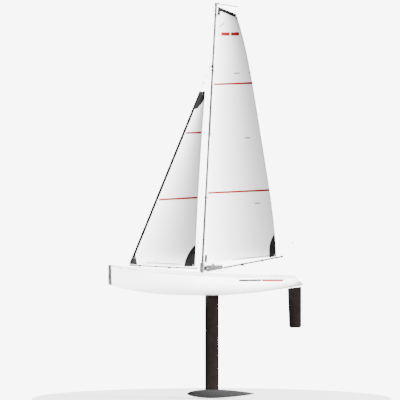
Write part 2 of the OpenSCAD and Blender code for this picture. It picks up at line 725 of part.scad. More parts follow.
module battery_cells() color("royalblue") for (side = [-1, 1], layer = [0, 1])
    translate([
        battery_x + battery_wall + 1,
        side * (cell_diameter / 2 + 0.15),
        tray_top + battery_wall + cell_diameter / 2 + layer * (cell_diameter + 0.2)
    ]) rotate([0, 90, 0]) {
        cylinder(h = cell_length - 1, d = cell_diameter);
        cylinder(h = cell_length, d = 0.38 * cell_diameter);
    }
module receiver() color("black")
    translate([battery_x + 8, battery_width / 2 + 1, tray_top]) cube(receiver_size);
module switch_place() translate([battery_x + 8, -battery_width / 2 - 1 - switch_size.y, tray_top]) children();
module switch_body() color("black") switch_place() difference() {
    cube(switch_size);
    translate([
        (switch_size.x - slider_size.x - slider_travel) / 2 - 0.3,
        (switch_size.y - slider_size.y) / 2 - 0.2,
        switch_size.z - 2
    ]) cube([slider_size.x + slider_travel + 0.6, slider_size.y + 0.4, 3]);
}
module switch_slider() color("red") switch_place()
    translate([
        (switch_size.x - slider_size.x - slider_travel) / 2,
        (switch_size.y - slider_size.y) / 2,
        switch_size.z - 1.7
    ]) cube(slider_size);
module drain_plug() color("gray") translate([plug_x, 0, ridge_z(plug_x)]) {
    translate([0, 0, -5]) cylinder(h = 5.2, d = plug_diameter);
    translate([0, 0, 0.2]) cylinder(h = 1.1, d = plug_diameter + 4);
}

// Band round a boom with an eye below it
module band(tube, length) {
    rotate([0, 90, 0]) difference() {
        translate([0, 0, -length / 2]) cylinder(h = length, d = tube + 2);
        translate([0, 0, -length]) cylinder(h = 2 * length, d = tube);
    }
    difference() {
        translate([-length / 2, -0.9, -tube / 2 - 3.6]) cube([length, 1.8, 3.6 - 0.3]);
        rotate([0, 90, 0]) translate([0, 0, -length]) cylinder(h = 2 * length, d = tube);
        translate([0, 2, -tube / 2 - 2.2]) rotate([90, 0, 0]) cylinder(h = 4, d = 1.2);
    }
}
module end_cap(tube) rotate([0, 90, 0]) difference() {
    translate([0, 0, -5]) cylinder(h = 7, d = tube + 1.2);
    translate([0, 0, -6]) cylinder(h = 6, d = tube);
}
sheet_run = 87;
bowsie_run = 138;
tail_run = 206;
function eye_below(p, tube) = p - [0, 0, tube / 2 + 4.3];

function above_bush(x) = [x, 0, ridge_z(x) + bush_rise + 0.2];
module main_sheet() color("white")
    bar(above_bush(main_bush_x), eye_below(boom_point(sheet_run), boom_diameter), line_diameter);
jib_sheet_run = 158;
jib_bowsie_run = 132;
jib_tail_run = 88;
module jib_sheet() color("white")
    bar(above_bush(jib_bush_x), eye_below(jib_boom_point(jib_sheet_run), jib_boom_diameter), line_diameter);

module pin_hole()
    translate(pin_spot + [0, vang_width, 0])
        rotate([90, 0, 0]) cylinder(h = 2 * vang_width, d = pin_diameter);
module gooseneck_collar() color("black") difference() {
    union() {
        on_mast(collar_low) cylinder(h = collar_height, d = collar_diameter);
        translate([foot_x + 4, -tongue_thickness / 2, foot_z + 4])
            cube([vang_start + tongue_reach - foot_x - 4, tongue_thickness, 15]);
    }
    on_mast(-2) cylinder(h = 2 * collar_height, d = mast_diameter + 2 * running_gap);
    pin_hole();
}
module gooseneck_pin() color("silver")
    translate(pin_spot + [0, vang_width / 2 + 1, 0]) rotate([90, 0, 0]) {
        cylinder(h = vang_width + 2, d = pin_diameter);
        cylinder(h = 1, d = pin_diameter + 1.6);
        translate([0, 0, vang_width + 1]) cylinder(h = 1, d = pin_diameter + 1.6);
    }
function under_boom(x) = boom_point((x - foot_x) / cos(boom_slope)).z - boom_diameter / 2 - 0.6;
module vang_body() color([0.25, 0.26, 0.25]) difference() {
    translate([0, vang_width / 2, 0]) rotate([90, 0, 0]) linear_extrude(vang_width) polygon([
        [vang_start, max(vang_floor, under_boom(vang_start))],
        [vang_end, under_boom(vang_end)],
        [vang_end - 2, vang_top + 2.4],
        [vang_end - 5, vang_top + 2.4],
        [vang_end - 5, vang_top],
        [vang_start, vang_top]
    ]);
    translate([vang_start - 1, -tongue_thickness / 2 - running_gap, vang_floor - 1])
        cube([tongue_reach + 1.5, tongue_thickness + 2 * running_gap, 2 * collar_height]);
    pin_hole();
    on_boom((boom_socket - foot_x) / cos(boom_slope)) rotate([0, 90, 0])
        cylinder(h = vang_length, d = boom_diameter);
    translate([wheel_x, 0, vang_top - 8]) cylinder(h = 12, d = wheel_stem + 2 * running_gap);
}
module vang_wheel() color("black") translate([wheel_x, 0, vang_top]) {
    translate([0, 0, wheel_gap - 8]) cylinder(h = 8, d = wheel_stem);
    translate([0, 0, wheel_gap]) difference() {
        cylinder(h = wheel_height, d = wheel_diameter);
        for (i = [0:11]) rotate(30 * i) translate([wheel_diameter / 2 + 0.3, 0, -1])
            cylinder(h = wheel_height + 2, d = 1.4, $fn = 16);
    }
}
module main_boom() color("dimgray") {
    first = (boom_socket - foot_x) / cos(boom_slope);
    on_boom(first) rotate([0, 90, 0]) difference() {
        cylinder(h = boom_length - first, d = boom_diameter);
        translate([0, 0, -1]) cylinder(h = boom_length, d = boom_diameter - 1.6);
    }
}
module main_boom_fittings() color("black") {
    on_boom(sheet_run) band(boom_diameter, 3);
    on_boom(bowsie_run) band(boom_diameter, 9);
    on_boom(tail_run) band(boom_diameter, 4);
    on_boom(boom_length) end_cap(boom_diameter);
    on_boom(boom_length - 24) rotate([0, 90, 0]) difference() {
        cylinder(h = 4, d = boom_diameter + 1.6);
        translate([0, 0, -1]) cylinder(h = 6, d = boom_diameter);
    }
}
module main_sheet_bowsie() color("black") {
    back = boom_point(sheet_run - 1.8) - [0, 0, boom_diameter / 2 + 2.6];
    front = boom_point(49) - [0, 0, boom_diameter / 2 + 1];
    slack = boom_point(66.5) - [0, 0, boom_diameter / 2 + 7.5];
    half = [4, 0, 1.6];
    bar(front, slack - half, line_diameter);
    bar(slack + half, back, line_diameter);
    bar(slack - half, slack + half, 2.6);
}
ring_shares = [0.275, 0.512, 0.748, 0.955];
module luff_rings() color("black") for (share = ring_shares) on_mast(share * mast_length) {
    inner = mast_diameter / 2 + 0.4;
    rotate_extrude($fn = 48) translate([inner, -1.5]) square([1.4, 3]);
    translate([inner + 1, -0.8, -6]) cube([luff_gap - inner - 1.1, 1.6, 12]);
}
module main_sail() color("ghostwhite")
    film(main_rows([0, 1], [0, 1]), -sail_thickness / 2, sail_thickness / 2);
module main_sail_patches() color("black") {
    both_faces(main_rows([0, 1], [0.985, 1]));
    both_faces(main_rows([0.9, 1], [0, 0.09]));
    both_faces(main_rows([0, 0.035], [0, 0.031]));
}

module jib_boom() color("dimgray") on_jib_boom(0) rotate([0, 90, 0]) difference() {
    cylinder(h = jib_boom_length, d = jib_boom_diameter);
    translate([0, 0, -1]) cylinder(h = jib_boom_length + 2, d = jib_boom_diameter - 1.4);
}
module jib_boom_fittings() color("black") {
    on_jib_boom(jib_tail_run) band(jib_boom_diameter, 4);
    on_jib_boom(jib_bowsie_run) band(jib_boom_diameter, 9);
    on_jib_boom(jib_sheet_run) band(jib_boom_diameter, 3);
    on_jib_boom(jib_boom_length) end_cap(jib_boom_diameter);
    on_jib_boom(0) rotate([0, 0, 180]) end_cap(jib_boom_diameter);
    on_jib_boom((jib_pivot_x - jib_boom_start.x) / cos(jib_boom_slope)) rotate([0, 90, 0]) difference() {
        translate([0, 0, -3]) cylinder(h = 6, d = jib_boom_diameter + 2.4);
        translate([0, 0, -4]) cylinder(h = 8, d = jib_boom_diameter);
    }
}
module jib_swivels() color("silver") {
    reach = norm(jib_axis);
    difference() {
        on_jib_axis(-5) cylinder(h = 11, d = swivel_diameter);
        on_jib_boom(0) rotate([0, 90, 0]) cylinder(h = jib_boom_length, d = jib_boom_diameter + 2.4);
        translate(jib_low + [0, 0, 5]) translate([-10, -10, 0]) cube(20);
    }
    on_jib_axis(reach - 6) cylinder(h = 9.6, d = swivel_diameter);
    on_jib_axis(reach - 7) cylinder(h = 4, d = 2 * swivel_diameter);
    on_jib_axis(reach + 2.2) cylinder(h = 1.4, d = 2 * swivel_diameter);
}
module jib_sail() color("ghostwhite")
    film(jib_rows([0, 1], [0, 1]), -sail_thickness / 2, sail_thickness / 2);
module jib_luff_sleeve() color("black") translate(jib_tack) rotate([0, jib_band_lean, 0]) difference() {
    translate([-sleeve_front, -1.2, 0]) cube([luff_band, 2.4, norm(jib_head - jib_tack)]);
    translate([0, 0, -1]) cylinder(h = 1.2 * norm(jib_luff_line), d = line_diameter);
}
module jib_sail_patches() color("black") {
    both_faces(jib_rows([0, 1], [0.9, 1]));
    both_faces(jib_rows([0.83, 1], [0, 0.12]));
    both_faces(jib_rows([0, 0.1], [0, 0.055]));
}
module jib_lines() color("lightgray") {
    lift_low = jib_boom_point(jib_boom_length - 2) + [0, 0, jib_boom_diameter / 2 + 0.7];
    unit = jib_luff_line / norm(jib_luff_line);
    bar(jib_tack - 1.7 * unit, jib_knot, line_diameter);
    lift_high = jib_knot + [1.4, 0, -1.5];
    bar(lift_low, lift_high, line_diameter);
    bar(lift_low + 0.12 * (lift_high - lift_low), lift_low + 0.13 * (lift_high - lift_low), 2.4);
    for (share = [0.92, 0.955]) bar(
        jib_tack + share * jib_luff_line, jib_tack + (share + 0.008) * jib_luff_line, 2.4
    );
}

blade_ahead = 11.4;
function blade_top(x) = bottom_z(x) - 2 - 0.05 * (x - rudder_x + blade_ahead);
blade_bottom = blade_top(rudder_x) - rudder_height;
blade_steps = 14;
blade_rounding = 0.06;
blade_thickness = stock_diameter + 2;
function blade_point(front, chord, level, share, side) =
    let (x = front + chord * share)
    [x, side * blade_thickness * foil(share), blade_top(x) * (1 - level) + blade_bottom * level];
module rudder_blade() color("black") difference() {
    levels = [for (i = [0:blade_steps]) pow(i / blade_steps, 0.6)];
    loft([for (level = levels)
        let (
            tip = max(0, (level - 1 + blade_rounding) / blade_rounding),
            trim = 7 * (1 - sqrt(1 - 0.97 * tip * tip)),
            front = rudder_x - blade_ahead + 5 * level + trim,
            chord = rudder_x - blade_ahead + rudder_chord - trim - front
        ) concat(
            [for (i = [0:foil_steps]) blade_point(front, chord, level, foil_shares[i], -1)],
            [for (i = [foil_steps - 1:-1:1]) blade_point(front, chord, level, foil_shares[i], 1)]
        )
    ]);
    translate([rudder_x, 0, blade_bottom + 0.4 * rudder_height])
        cylinder(h = rudder_height, d = stock_diameter);
}
module rudder_stock() color("silver")
    translate([rudder_x, 0, blade_bottom + 0.4 * rudder_height])
        cylinder(h = horn_z + 5 - blade_bottom - 0.4 * rudder_height, d = stock_diameter);
// Horn on a shaft, pointing to starboard, with a hole for the pushrod's bent end
module horn(bore, pivot_gap) difference() {
    union() {
        translate([0, 0, -0.5]) cylinder(h = 4, d = 7.5);
        translate([-2.5, 0, 0]) cube([5, tiller_reach, arm_thickness]);
        translate([0, tiller_reach, 0]) cylinder(h = arm_thickness, d = 5);
    }
    translate([0, 0, -1]) cylinder(h = 6, d = bore);
    translate([0, tiller_reach, -1]) cylinder(h = 4, d = link_diameter + 2 * pivot_gap);
}
module rudder_horn() color("white") translate([rudder_x, 0, horn_z]) horn(stock_diameter, 0.35);
module servo_horn() color("white") translate([rudder_servo_x, 0, horn_z]) horn(shaft_diameter + 0.2, 0.05);
module rudder_pushrod() color("silver") {
    low = horn_z - 0.6;
    high = horn_z + arm_thickness + 1.4;
    for (x = [rudder_servo_x, rudder_x]) {
        translate([x, tiller_reach, low]) cylinder(h = high - low, d = link_diameter);
        translate([x, tiller_reach, high]) sphere(d = link_diameter, $fn = 24);
    }
    bar([rudder_servo_x, tiller_reach, high], [rudder_x, tiller_reach, high], link_diameter);
}
module sail_arm() color("white") translate([sail_servo_x, 0, sail_arm_z]) rotate(arm_rest) difference() {
    union() {
        translate([0, 0, -0.5]) cylinder(h = 4, d = 10);
        translate([0, -3, 0]) cube([sail_arm_reach, 6, arm_thickness]);
        translate([sail_arm_reach, 0, 0]) cylinder(h = arm_thickness, d = 6);
    }
    translate([0, 0, -1]) cylinder(h = 6, d = shaft_diameter + 0.2);
    for (reach = [sail_arm_reach, sail_arm_reach - 7]) translate([reach, 0, -1]) cylinder(h = 4, d = 1.6);
}

hull_shell();
deck();
bow_bumper();
keel_box();
keel_fin();
keel_rod();
keel_nut();
ballast_bulb();
bulb_bolt();
mast_step();
mast_lower();
mast_joiner();
mast_upper();
masthead_cap();
crane_rod();
hounds_fitting();
mast_stop_ring();
backstay();
backstay_bowsie();
deck_eyes();
sheet_bushes();
jib_pivot_seat();
rudder_tube();
radio_tray();
sail_servo();
rudder_servo();
servo_screws();
battery_box();
battery_cells();
receiver();
switch_body();
drain_plug();
hatch_seal();
main_sheet();
jib_sheet();
main_sheet_bowsie();
hatch_lid();
gooseneck_collar();
vang_body();
gooseneck_pin();
main_boom();
main_boom_fittings();
luff_rings();
main_sail();
main_sail_patches();
vang_wheel();
jib_boom();
jib_boom_fittings();
jib_swivels();
jib_sail();
jib_luff_sleeve();
jib_sail_patches();
jib_lines();
rudder_blade();
rudder_stock();
rudder_horn();
servo_horn();
rudder_pushrod();
sail_arm();
switch_slider();
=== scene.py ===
"""Radio-controlled racing yacht: its visual model and a plain studio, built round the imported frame."""

import json
import math

import bmesh
import bpy
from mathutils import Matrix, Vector

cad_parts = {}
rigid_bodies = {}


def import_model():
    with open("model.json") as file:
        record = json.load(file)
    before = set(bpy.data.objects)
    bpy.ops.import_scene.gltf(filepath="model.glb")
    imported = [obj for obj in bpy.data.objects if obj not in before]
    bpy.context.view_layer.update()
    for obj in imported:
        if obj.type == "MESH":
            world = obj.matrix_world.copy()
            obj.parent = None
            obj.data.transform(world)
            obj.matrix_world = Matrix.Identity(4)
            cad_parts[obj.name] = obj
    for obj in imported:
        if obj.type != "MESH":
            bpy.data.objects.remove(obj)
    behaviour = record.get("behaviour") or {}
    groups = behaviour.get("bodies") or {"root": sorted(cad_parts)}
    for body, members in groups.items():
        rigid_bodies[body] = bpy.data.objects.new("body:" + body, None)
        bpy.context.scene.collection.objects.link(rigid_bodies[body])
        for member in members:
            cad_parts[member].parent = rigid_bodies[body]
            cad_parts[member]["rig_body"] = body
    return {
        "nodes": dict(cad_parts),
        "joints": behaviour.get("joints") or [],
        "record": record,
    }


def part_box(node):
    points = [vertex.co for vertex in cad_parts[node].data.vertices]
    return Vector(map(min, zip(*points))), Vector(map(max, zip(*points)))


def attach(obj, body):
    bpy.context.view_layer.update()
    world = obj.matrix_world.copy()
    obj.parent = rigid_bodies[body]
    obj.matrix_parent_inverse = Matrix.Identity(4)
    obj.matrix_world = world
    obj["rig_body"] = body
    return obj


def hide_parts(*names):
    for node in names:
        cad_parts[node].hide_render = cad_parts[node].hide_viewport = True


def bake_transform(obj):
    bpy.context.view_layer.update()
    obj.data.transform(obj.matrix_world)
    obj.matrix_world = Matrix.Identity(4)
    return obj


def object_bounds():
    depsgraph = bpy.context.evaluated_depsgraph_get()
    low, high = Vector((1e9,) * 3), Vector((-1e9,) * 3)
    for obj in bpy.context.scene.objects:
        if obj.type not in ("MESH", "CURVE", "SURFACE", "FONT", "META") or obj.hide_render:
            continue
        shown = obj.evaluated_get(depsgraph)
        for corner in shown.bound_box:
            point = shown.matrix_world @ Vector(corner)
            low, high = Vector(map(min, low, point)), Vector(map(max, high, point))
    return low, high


bl_info = {
    "name": "Model racing yacht",
    "version": (1, 0, 0),
    "blender": (4, 5, 0),
    "location": "View3D > Sidebar > Yacht",
    "description": "Builds a radio-controlled racing yacht round its packed frame",
    "category": "Object",
}

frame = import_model()
NODES = frame["nodes"]
JOINTS = {joint["name"]: joint for joint in frame["joints"]}
CAD_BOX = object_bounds()
MM = 0.001

# ---------------------------------------------------------------- sizes

HULL_LOW, HULL_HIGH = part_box("hull_shell")
STEM_X = HULL_LOW.x
STERN_X = HULL_HIGH.x
HALF_BEAM = HULL_HIGH.y
STEM_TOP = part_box("deck")[1].z
STERN_TOP = 67 * MM
BOW_RISE = 33.5 * MM
STERN_RISE = 34.5 * MM
STEM_HALF_WIDTH = 5 * MM
TRANSOM_HALF_WIDTH = 0.62 * HALF_BEAM
WIDEST_SHARE = 0.52
STERN_CUT = 22 * MM
STERN_DROP = 18 * MM
CUT_X = STERN_X - STERN_CUT
DECK_CROWN = 8 * MM
DECK_WALL = 1.8 * MM
DECK_FLANGE = 4 * MM
HULL_WALL = 1.5 * MM

HATCH_LOW, HATCH_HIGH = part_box("hatch_lid")
LID_GAP = 0.5 * MM

MAST_FOOT = Vector(JOINTS["main_swing"]["pos_m"])
MAST_UP = Vector(JOINTS["main_swing"]["axis"]).normalized()
MAST_LENGTH = 900 * MM
MAST_RADIUS = 3.75 * MM
JIB_PIVOT = Vector(JOINTS["jib_swing"]["pos_m"])
JIB_UP = Vector(JOINTS["jib_swing"]["axis"]).normalized()
HOUNDS_UP = 687 * MM
JIB_HIGH = MAST_FOOT + MAST_UP * HOUNDS_UP - Vector((9.25 * MM, 0, 0))
JIB_KNOT = JIB_PIVOT + JIB_UP * ((JIB_HIGH - JIB_PIVOT).length - 7.6 * MM)

BOOM_SLOPE = math.radians(10.86)
BOOM_AIM = Vector((math.cos(BOOM_SLOPE), 0, math.sin(BOOM_SLOPE)))
BOOM_START = MAST_FOOT - Vector((0, 0, 0.4 * MM))
BOOM_LENGTH = 274 * MM
BOOM_RADIUS = 2.5 * MM
JIB_SLOPE = math.radians(2.8)
JIB_AIM = Vector((math.cos(JIB_SLOPE), 0, -math.sin(JIB_SLOPE)))
JIB_START = Vector((JIB_PIVOT.x - 34 * MM, 0, JIB_PIVOT.z + 6.4 * MM))
JIB_LENGTH = 224 * MM
JIB_RADIUS = 2 * MM

SAIL_DRAFT = 0.065
MAIN_TACK = MAST_FOOT + MAST_UP * 30 * MM + Vector((6.5 * MM, 0, 0))
MAIN_HEAD = MAST_FOOT + MAST_UP * (MAST_LENGTH - 13 * MM) + Vector((6.5 * MM, 0, 0))
MAIN_CLEW = BOOM_START + BOOM_AIM * (BOOM_LENGTH - 22 * MM) + Vector((0, 0, BOOM_RADIUS + 1.6 * MM))
MAIN_PEAK = MAST_FOOT + MAST_UP * MAST_LENGTH + Vector((66.4 * MM, 0, -38 * MM))
MAIN_ROACH = 17 * MM

JIB_TACK = JIB_START + Vector((0, 0, 4.5 * MM))
JIB_LUFF_LINE = JIB_KNOT - JIB_TACK
JIB_HEAD = JIB_TACK + JIB_LUFF_LINE * 0.885
JIB_LEAN = math.atan2(JIB_LUFF_LINE.x, JIB_LUFF_LINE.z)
BAND_SIDE = Vector((math.cos(JIB_LEAN), 0, -math.sin(JIB_LEAN)))
LUFF_BAND = 8 * MM
SLEEVE_FRONT = 2 * MM
JIB_CLEW = JIB_START + JIB_AIM * (JIB_LENGTH - 6 * MM) + Vector((0, 0, 6.5 * MM))
JIB_LEECH_TOP = JIB_HEAD + Vector((12 * MM + 0.6 * LUFF_BAND, 0, 0))
JIB_HOLLOW = 3 * MM

RUDDER_AXIS = Vector(JOINTS["rudder_turn"]["pos_m"])
FIN_LOW, FIN_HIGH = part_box("keel_fin")
BULB_LOW, BULB_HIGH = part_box("ballast_bulb")


# ---------------------------------------------------------------- user settings


def colour_property(name, description, default):
    return bpy.props.FloatVectorProperty(
        name=name, description=description, default=default, size=4, min=0, max=1, subtype="COLOR"
    )


def length_property(name, description, default):
    return bpy.props.FloatProperty(
        name=name, description=description, default=default, min=0, unit="LENGTH", precision=5
    )


def place_property(name, description, default):
    return bpy.props.FloatProperty(name=name, description=description, default=default, unit="LENGTH")


def power_property(name, description, default):
    return bpy.props.FloatProperty(name=name, description=description, default=default, min=0)


class YachtColours(bpy.types.PropertyGroup):
    """Colours of the yacht's finishes"""

    hull: colour_property("Hull", "Gloss hull moulding", (0.86, 0.865, 0.87, 1))
    deck: colour_property("Deck", "Satin deck moulding", (0.84, 0.845, 0.85, 1))
    blade: colour_property("Blades", "Keel fin and rudder", (0.0035, 0.0019, 0.0016, 1))
    bulb: colour_property("Bulb", "Painted ballast bulb", (0.016, 0.016, 0.0162, 1))
    tube: colour_property("Tubes", "Mast and booms", (0.03, 0.029, 0.031, 1))
    fitting: colour_property("Fittings", "Moulded black fittings", (0.012, 0.012, 0.013, 1))
    grey_fitting: colour_property("Vang", "Dark grey vang and bushes", (0.035, 0.036, 0.034, 1))
    sail: colour_property("Sail film", "White sail film", (0.6, 0.6, 0.604, 1))
    patch: colour_property("Patches", "Black sail reinforcements", (0.004, 0.0035, 0.004, 1))
    stripe: colour_property("Stripes", "Red tape across the sails", (0.15, 0.004, 0.002, 1))
    line: colour_property("Lines", "Braided sheets and stays", (0.72, 0.72, 0.72, 1))
    rubber: colour_property("Rubber", "Bow bumper and bung", (0.016, 0.014, 0.014, 1))
    nylon: colour_property("Nylon", "Servo arms and horns", (0.7, 0.7, 0.68, 1))
    tray: colour_property("Tray", "Radio tray and keel box", (0.55, 0.56, 0.57, 1))
    cell: colour_property("Cells", "Battery sleeves", (0.02, 0.07, 0.28, 1))
    # The dark colour below is painted shade: a bead that stands for the thin shadow line under the deck's
    # edge
    seam: colour_property("Seam", "Sealant along the deck's edge", (0.09, 0.09, 0.095, 1))
    knob: colour_property("Knob", "Power switch knob", (0.5, 0.012, 0.01, 1))


class YachtSizes(bpy.types.PropertyGroup):
    """Sizes of the details that the frame doesn't hold"""

    film: length_property("Film thickness", "Thickness of the sail film", 0.3 * MM)
    tape: length_property("Tape thickness", "Thickness of tapes and patches on the sails", 0.16 * MM)
    stripe: length_property("Stripe width", "Width of the red stripes", 6.0 * MM)
    edge_tape: length_property("Edge tape width", "Width of the tape along the sails' edges", 3.2 * MM)
    sheet_line: length_property("Sheet diameter", "Diameter of the sheets", 0.8 * MM)
    fine_line: length_property("Stay diameter", "Diameter of the stays and ties", 0.55 * MM)
    eyelet: length_property("Eyelet radius", "Radius of the eyelets in the sails", 2.1 * MM)
    seam: length_property("Seam radius", "Radius of the bead along the deck's edge", 0.6 * MM)


class YachtStudio(bpy.types.PropertyGroup):
    """Camera and light"""

    width: length_property("View width", "Width of the view at the yacht", 1.336)
    distance: length_property("Camera distance", "Distance from the camera to the yacht", 11.0)
    aim_x: place_property("Aim X", "Middle of the view, fore and aft", -0.0396)
    aim_z: place_property("Aim Z", "Middle of the view, up and down", 0.3186)
    floor_radius: length_property("Floor radius", "Radius of the pale floor", 0.6)
    key_power: power_property("Key light", "Power of the light along the port side", 19500)
    front_power: power_property("Front light", "Power of the light ahead on the port side", 30)
    bow_power: power_property("Bow light", "Power of the narrow light on the bow", 2)
    rear_power: power_property("Rear light", "Power of the light on the starboard side", 900)
    top_power: power_property("Top light", "Power of the light overhead", 130)
    surround: power_property("Surround", "Strength of the even light all round", 0.12)
    backdrop: power_property("Backdrop", "Brightness of the plain white behind", 8)


# ---------------------------------------------------------------- mesh helpers


def link(mesh, name):
    piece = bpy.data.objects.new(name, mesh)
    bpy.context.scene.collection.objects.link(piece)
    return piece


def finish_mesh(mesh, angle=35):
    """Outward normals, and smooth shading except over edges sharper than angle."""
    work = bmesh.new()
    work.from_mesh(mesh)
    bmesh.ops.recalc_face_normals(work, faces=work.faces)
    work.to_mesh(mesh)
    work.free()
    mesh.polygons.foreach_set("use_smooth", [True] * len(mesh.polygons))
    mesh.set_sharp_from_angle(angle=math.radians(angle))


def add_piece(name, points, faces, material, body, slot, replaces=(), uvs=None, angle=35):
    """A new piece from points and faces, riding on a body."""
    mesh = bpy.data.meshes.new(name)
    mesh.from_pydata([tuple(p) for p in points], [], faces)
    finish_mesh(mesh, angle)
    if uvs is not None:
        layer = mesh.uv_layers.new(name="UVMap")
        for loop in mesh.loops:
            layer.data[loop.index].uv = uvs[loop.vertex_index]
    return dress(link(mesh, name), material, body, slot, replaces)


def dress(piece, material, body, slot, replaces=()):
    piece.data.materials.clear()
    piece.data.materials.append(material)
    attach(piece, body)
    if replaces:
        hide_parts(*replaces)
    return piece


def loft(rings):
    """Points and faces of a closed solid through rings with the same number of points."""
    count = len(rings[0])
    points = [p for ring in rings for p in ring]
    faces = []
    for i in range(len(rings) - 1):
        for j in range(count):
            a, b = i * count + j, i * count + (j + 1) % count
            faces.append((a, b, b + count, a + count))
    faces.append(tuple(range(count - 1, -1, -1)))
    faces.append(tuple(range((len(rings) - 1) * count, len(rings) * count)))
    return points, faces


def join_parts(parts):
    """One list of points and faces from several."""
    points, faces = [], []
    for part_points, part_faces in parts:
        start = len(points)
        points += part_points
        faces += [tuple(start + k for k in face) for face in part_faces]
    return points, faces


def slab(rows, near, far, holes=()):
    """A closed sheet over rows of points, between two offset functions; cells in holes are left out."""
    wide, long = len(rows[0]), len(rows)
    under = wide * long
    points = [near(p) for row in rows for p in row] + [far(p) for row in rows for p in row]

    def solid(i, j):
        return 0 <= i < long - 1 and 0 <= j < wide - 1 and (i, j) not in holes

    faces = []
    for i in range(long - 1):
        for j in range(wide - 1):
            if not solid(i, j):
                continue
            a = i * wide + j
            b, c, d = a + 1, a + wide + 1, a + wide
            faces += [(a, b, c, d), (under + d, under + c, under + b, under + a)]
            for open_side, p, q in (
                (not solid(i - 1, j), b, a), (not solid(i + 1, j), d, c),
                (not solid(i, j - 1), a, d), (not solid(i, j + 1), c, b),
            ):
                if open_side:
                    faces.append((p, q, q + under, p + under))
    return points, faces


def on_circle(radius, height, share):
    """Point on a circle about Z, at a share of the way round it."""
    return Vector((radius * math.cos(2 * math.pi * share), radius * math.sin(2 * math.pi * share), height))


def turned(profile, origin, aim, steps=32):
    """Solid of revolution: profile is (radius, distance along aim), from one end to the other."""
    turn = aim.to_track_quat("Z", "Y")
    return loft([[origin + turn @ on_circle(r, h, k / steps) for k in range(steps)] for r, h in profile])


def hoop(centre, aim, radius, thickness, steps=24, sides=8):
    """Closed round ring about aim."""
    turn = aim.to_track_quat("Z", "Y")
    points, faces = [], []
    for k in range(steps):
        a = 2 * math.pi * k / steps
        for m in range(sides):
            b = 2 * math.pi * m / sides
            r = radius + thickness * math.cos(b)
            points.append(centre + turn @ Vector((r * math.cos(a), r * math.sin(a), thickness * math.sin(b))))
    for k in range(steps):
        for m in range(sides):
            n, o = (k + 1) % steps, (m + 1) % sides
            faces.append((k * sides + m, n * sides + m, n * sides + o, k * sides + o))
    return points, faces


def refined(node, material, body, bevel=0.35 * MM, segments=2, name=None):
    """A merged, bevelled copy of a CAD node, which replaces it."""
    mesh = NODES[node].data.copy()
    work = bmesh.new()
    work.from_mesh(mesh)
    bmesh.ops.remove_doubles(work, verts=work.verts, dist=2e-6)
    bmesh.ops.dissolve_limit(work, angle_limit=math.radians(1.5), verts=work.verts, edges=work.edges)
    sharp = [e for e in work.edges if len(e.link_faces) == 2 and e.calc_face_angle(0) > math.radians(32)]
    if bevel > 0:
        bmesh.ops.bevel(
            work, geom=sharp, offset=bevel, segments=segments, profile=0.5, affect="EDGES",
            clamp_overlap=True,
        )
    bmesh.ops.triangulate(work, faces=[f for f in work.faces if len(f.verts) > 4])
    work.to_mesh(mesh)
    work.free()
    mesh.polygons.foreach_set("use_smooth", [True] * len(mesh.polygons))
    mesh.set_sharp_from_angle(angle=math.radians(38))
    piece = link(mesh, name or node + "_finished")
    slot = next(s["material_slot"] for s in frame["record"]["subparts"] if s["node"] == node)
    return dress(piece, material, body, slot, [node])


# ---------------------------------------------------------------- geometry nodes


def new_tree(name, inputs):
    """An empty geometry tree with a geometry input and output, and the named inputs."""
    tree = bpy.data.node_groups.new(name, "GeometryNodeTree")
    tree.interface.new_socket("Geometry", in_out="INPUT", socket_type="NodeSocketGeometry")
    tree.interface.new_socket("Geometry", in_out="OUTPUT", socket_type="NodeSocketGeometry")
    for label, kind, default in inputs:
        socket = tree.interface.new_socket(label, in_out="INPUT", socket_type=kind)
        if default is not None:
            socket.default_value = default
    return tree, tree.nodes.new("NodeGroupInput"), tree.nodes.new("NodeGroupOutput")


def grown(source, tree, values, name, material, body, slot, replaces=()):
    """Runs a tree on a source object and keeps the result as a plain mesh."""
    modifier = source.modifiers.new("Build", "NODES")
    modifier.node_group = tree
    for item in tree.interface.items_tree:
        if item.item_type == "SOCKET" and item.in_out == "INPUT" and item.name in values:
            modifier[item.identifier] = values[item.name]
    graph = bpy.context.evaluated_depsgraph_get()
    mesh = bpy.data.meshes.new_from_object(source.evaluated_get(graph))
    source.modifiers.clear()
    bpy.data.objects.remove(source)
    mesh.name = name
    piece = link(mesh, name)
    return dress(piece, material, body, slot, replaces)


def path_object(paths):
    """Loose edges along each list of points."""
    points, edges = [], []
    for path in paths:
        start = len(points)
        points += [tuple(p) for p in path]
        edges += [(start + k, start + k + 1) for k in range(len(path) - 1)]
    mesh = bpy.data.meshes.new("path")
    mesh.from_pydata(points, edges, [])
    return link(mesh, "path")


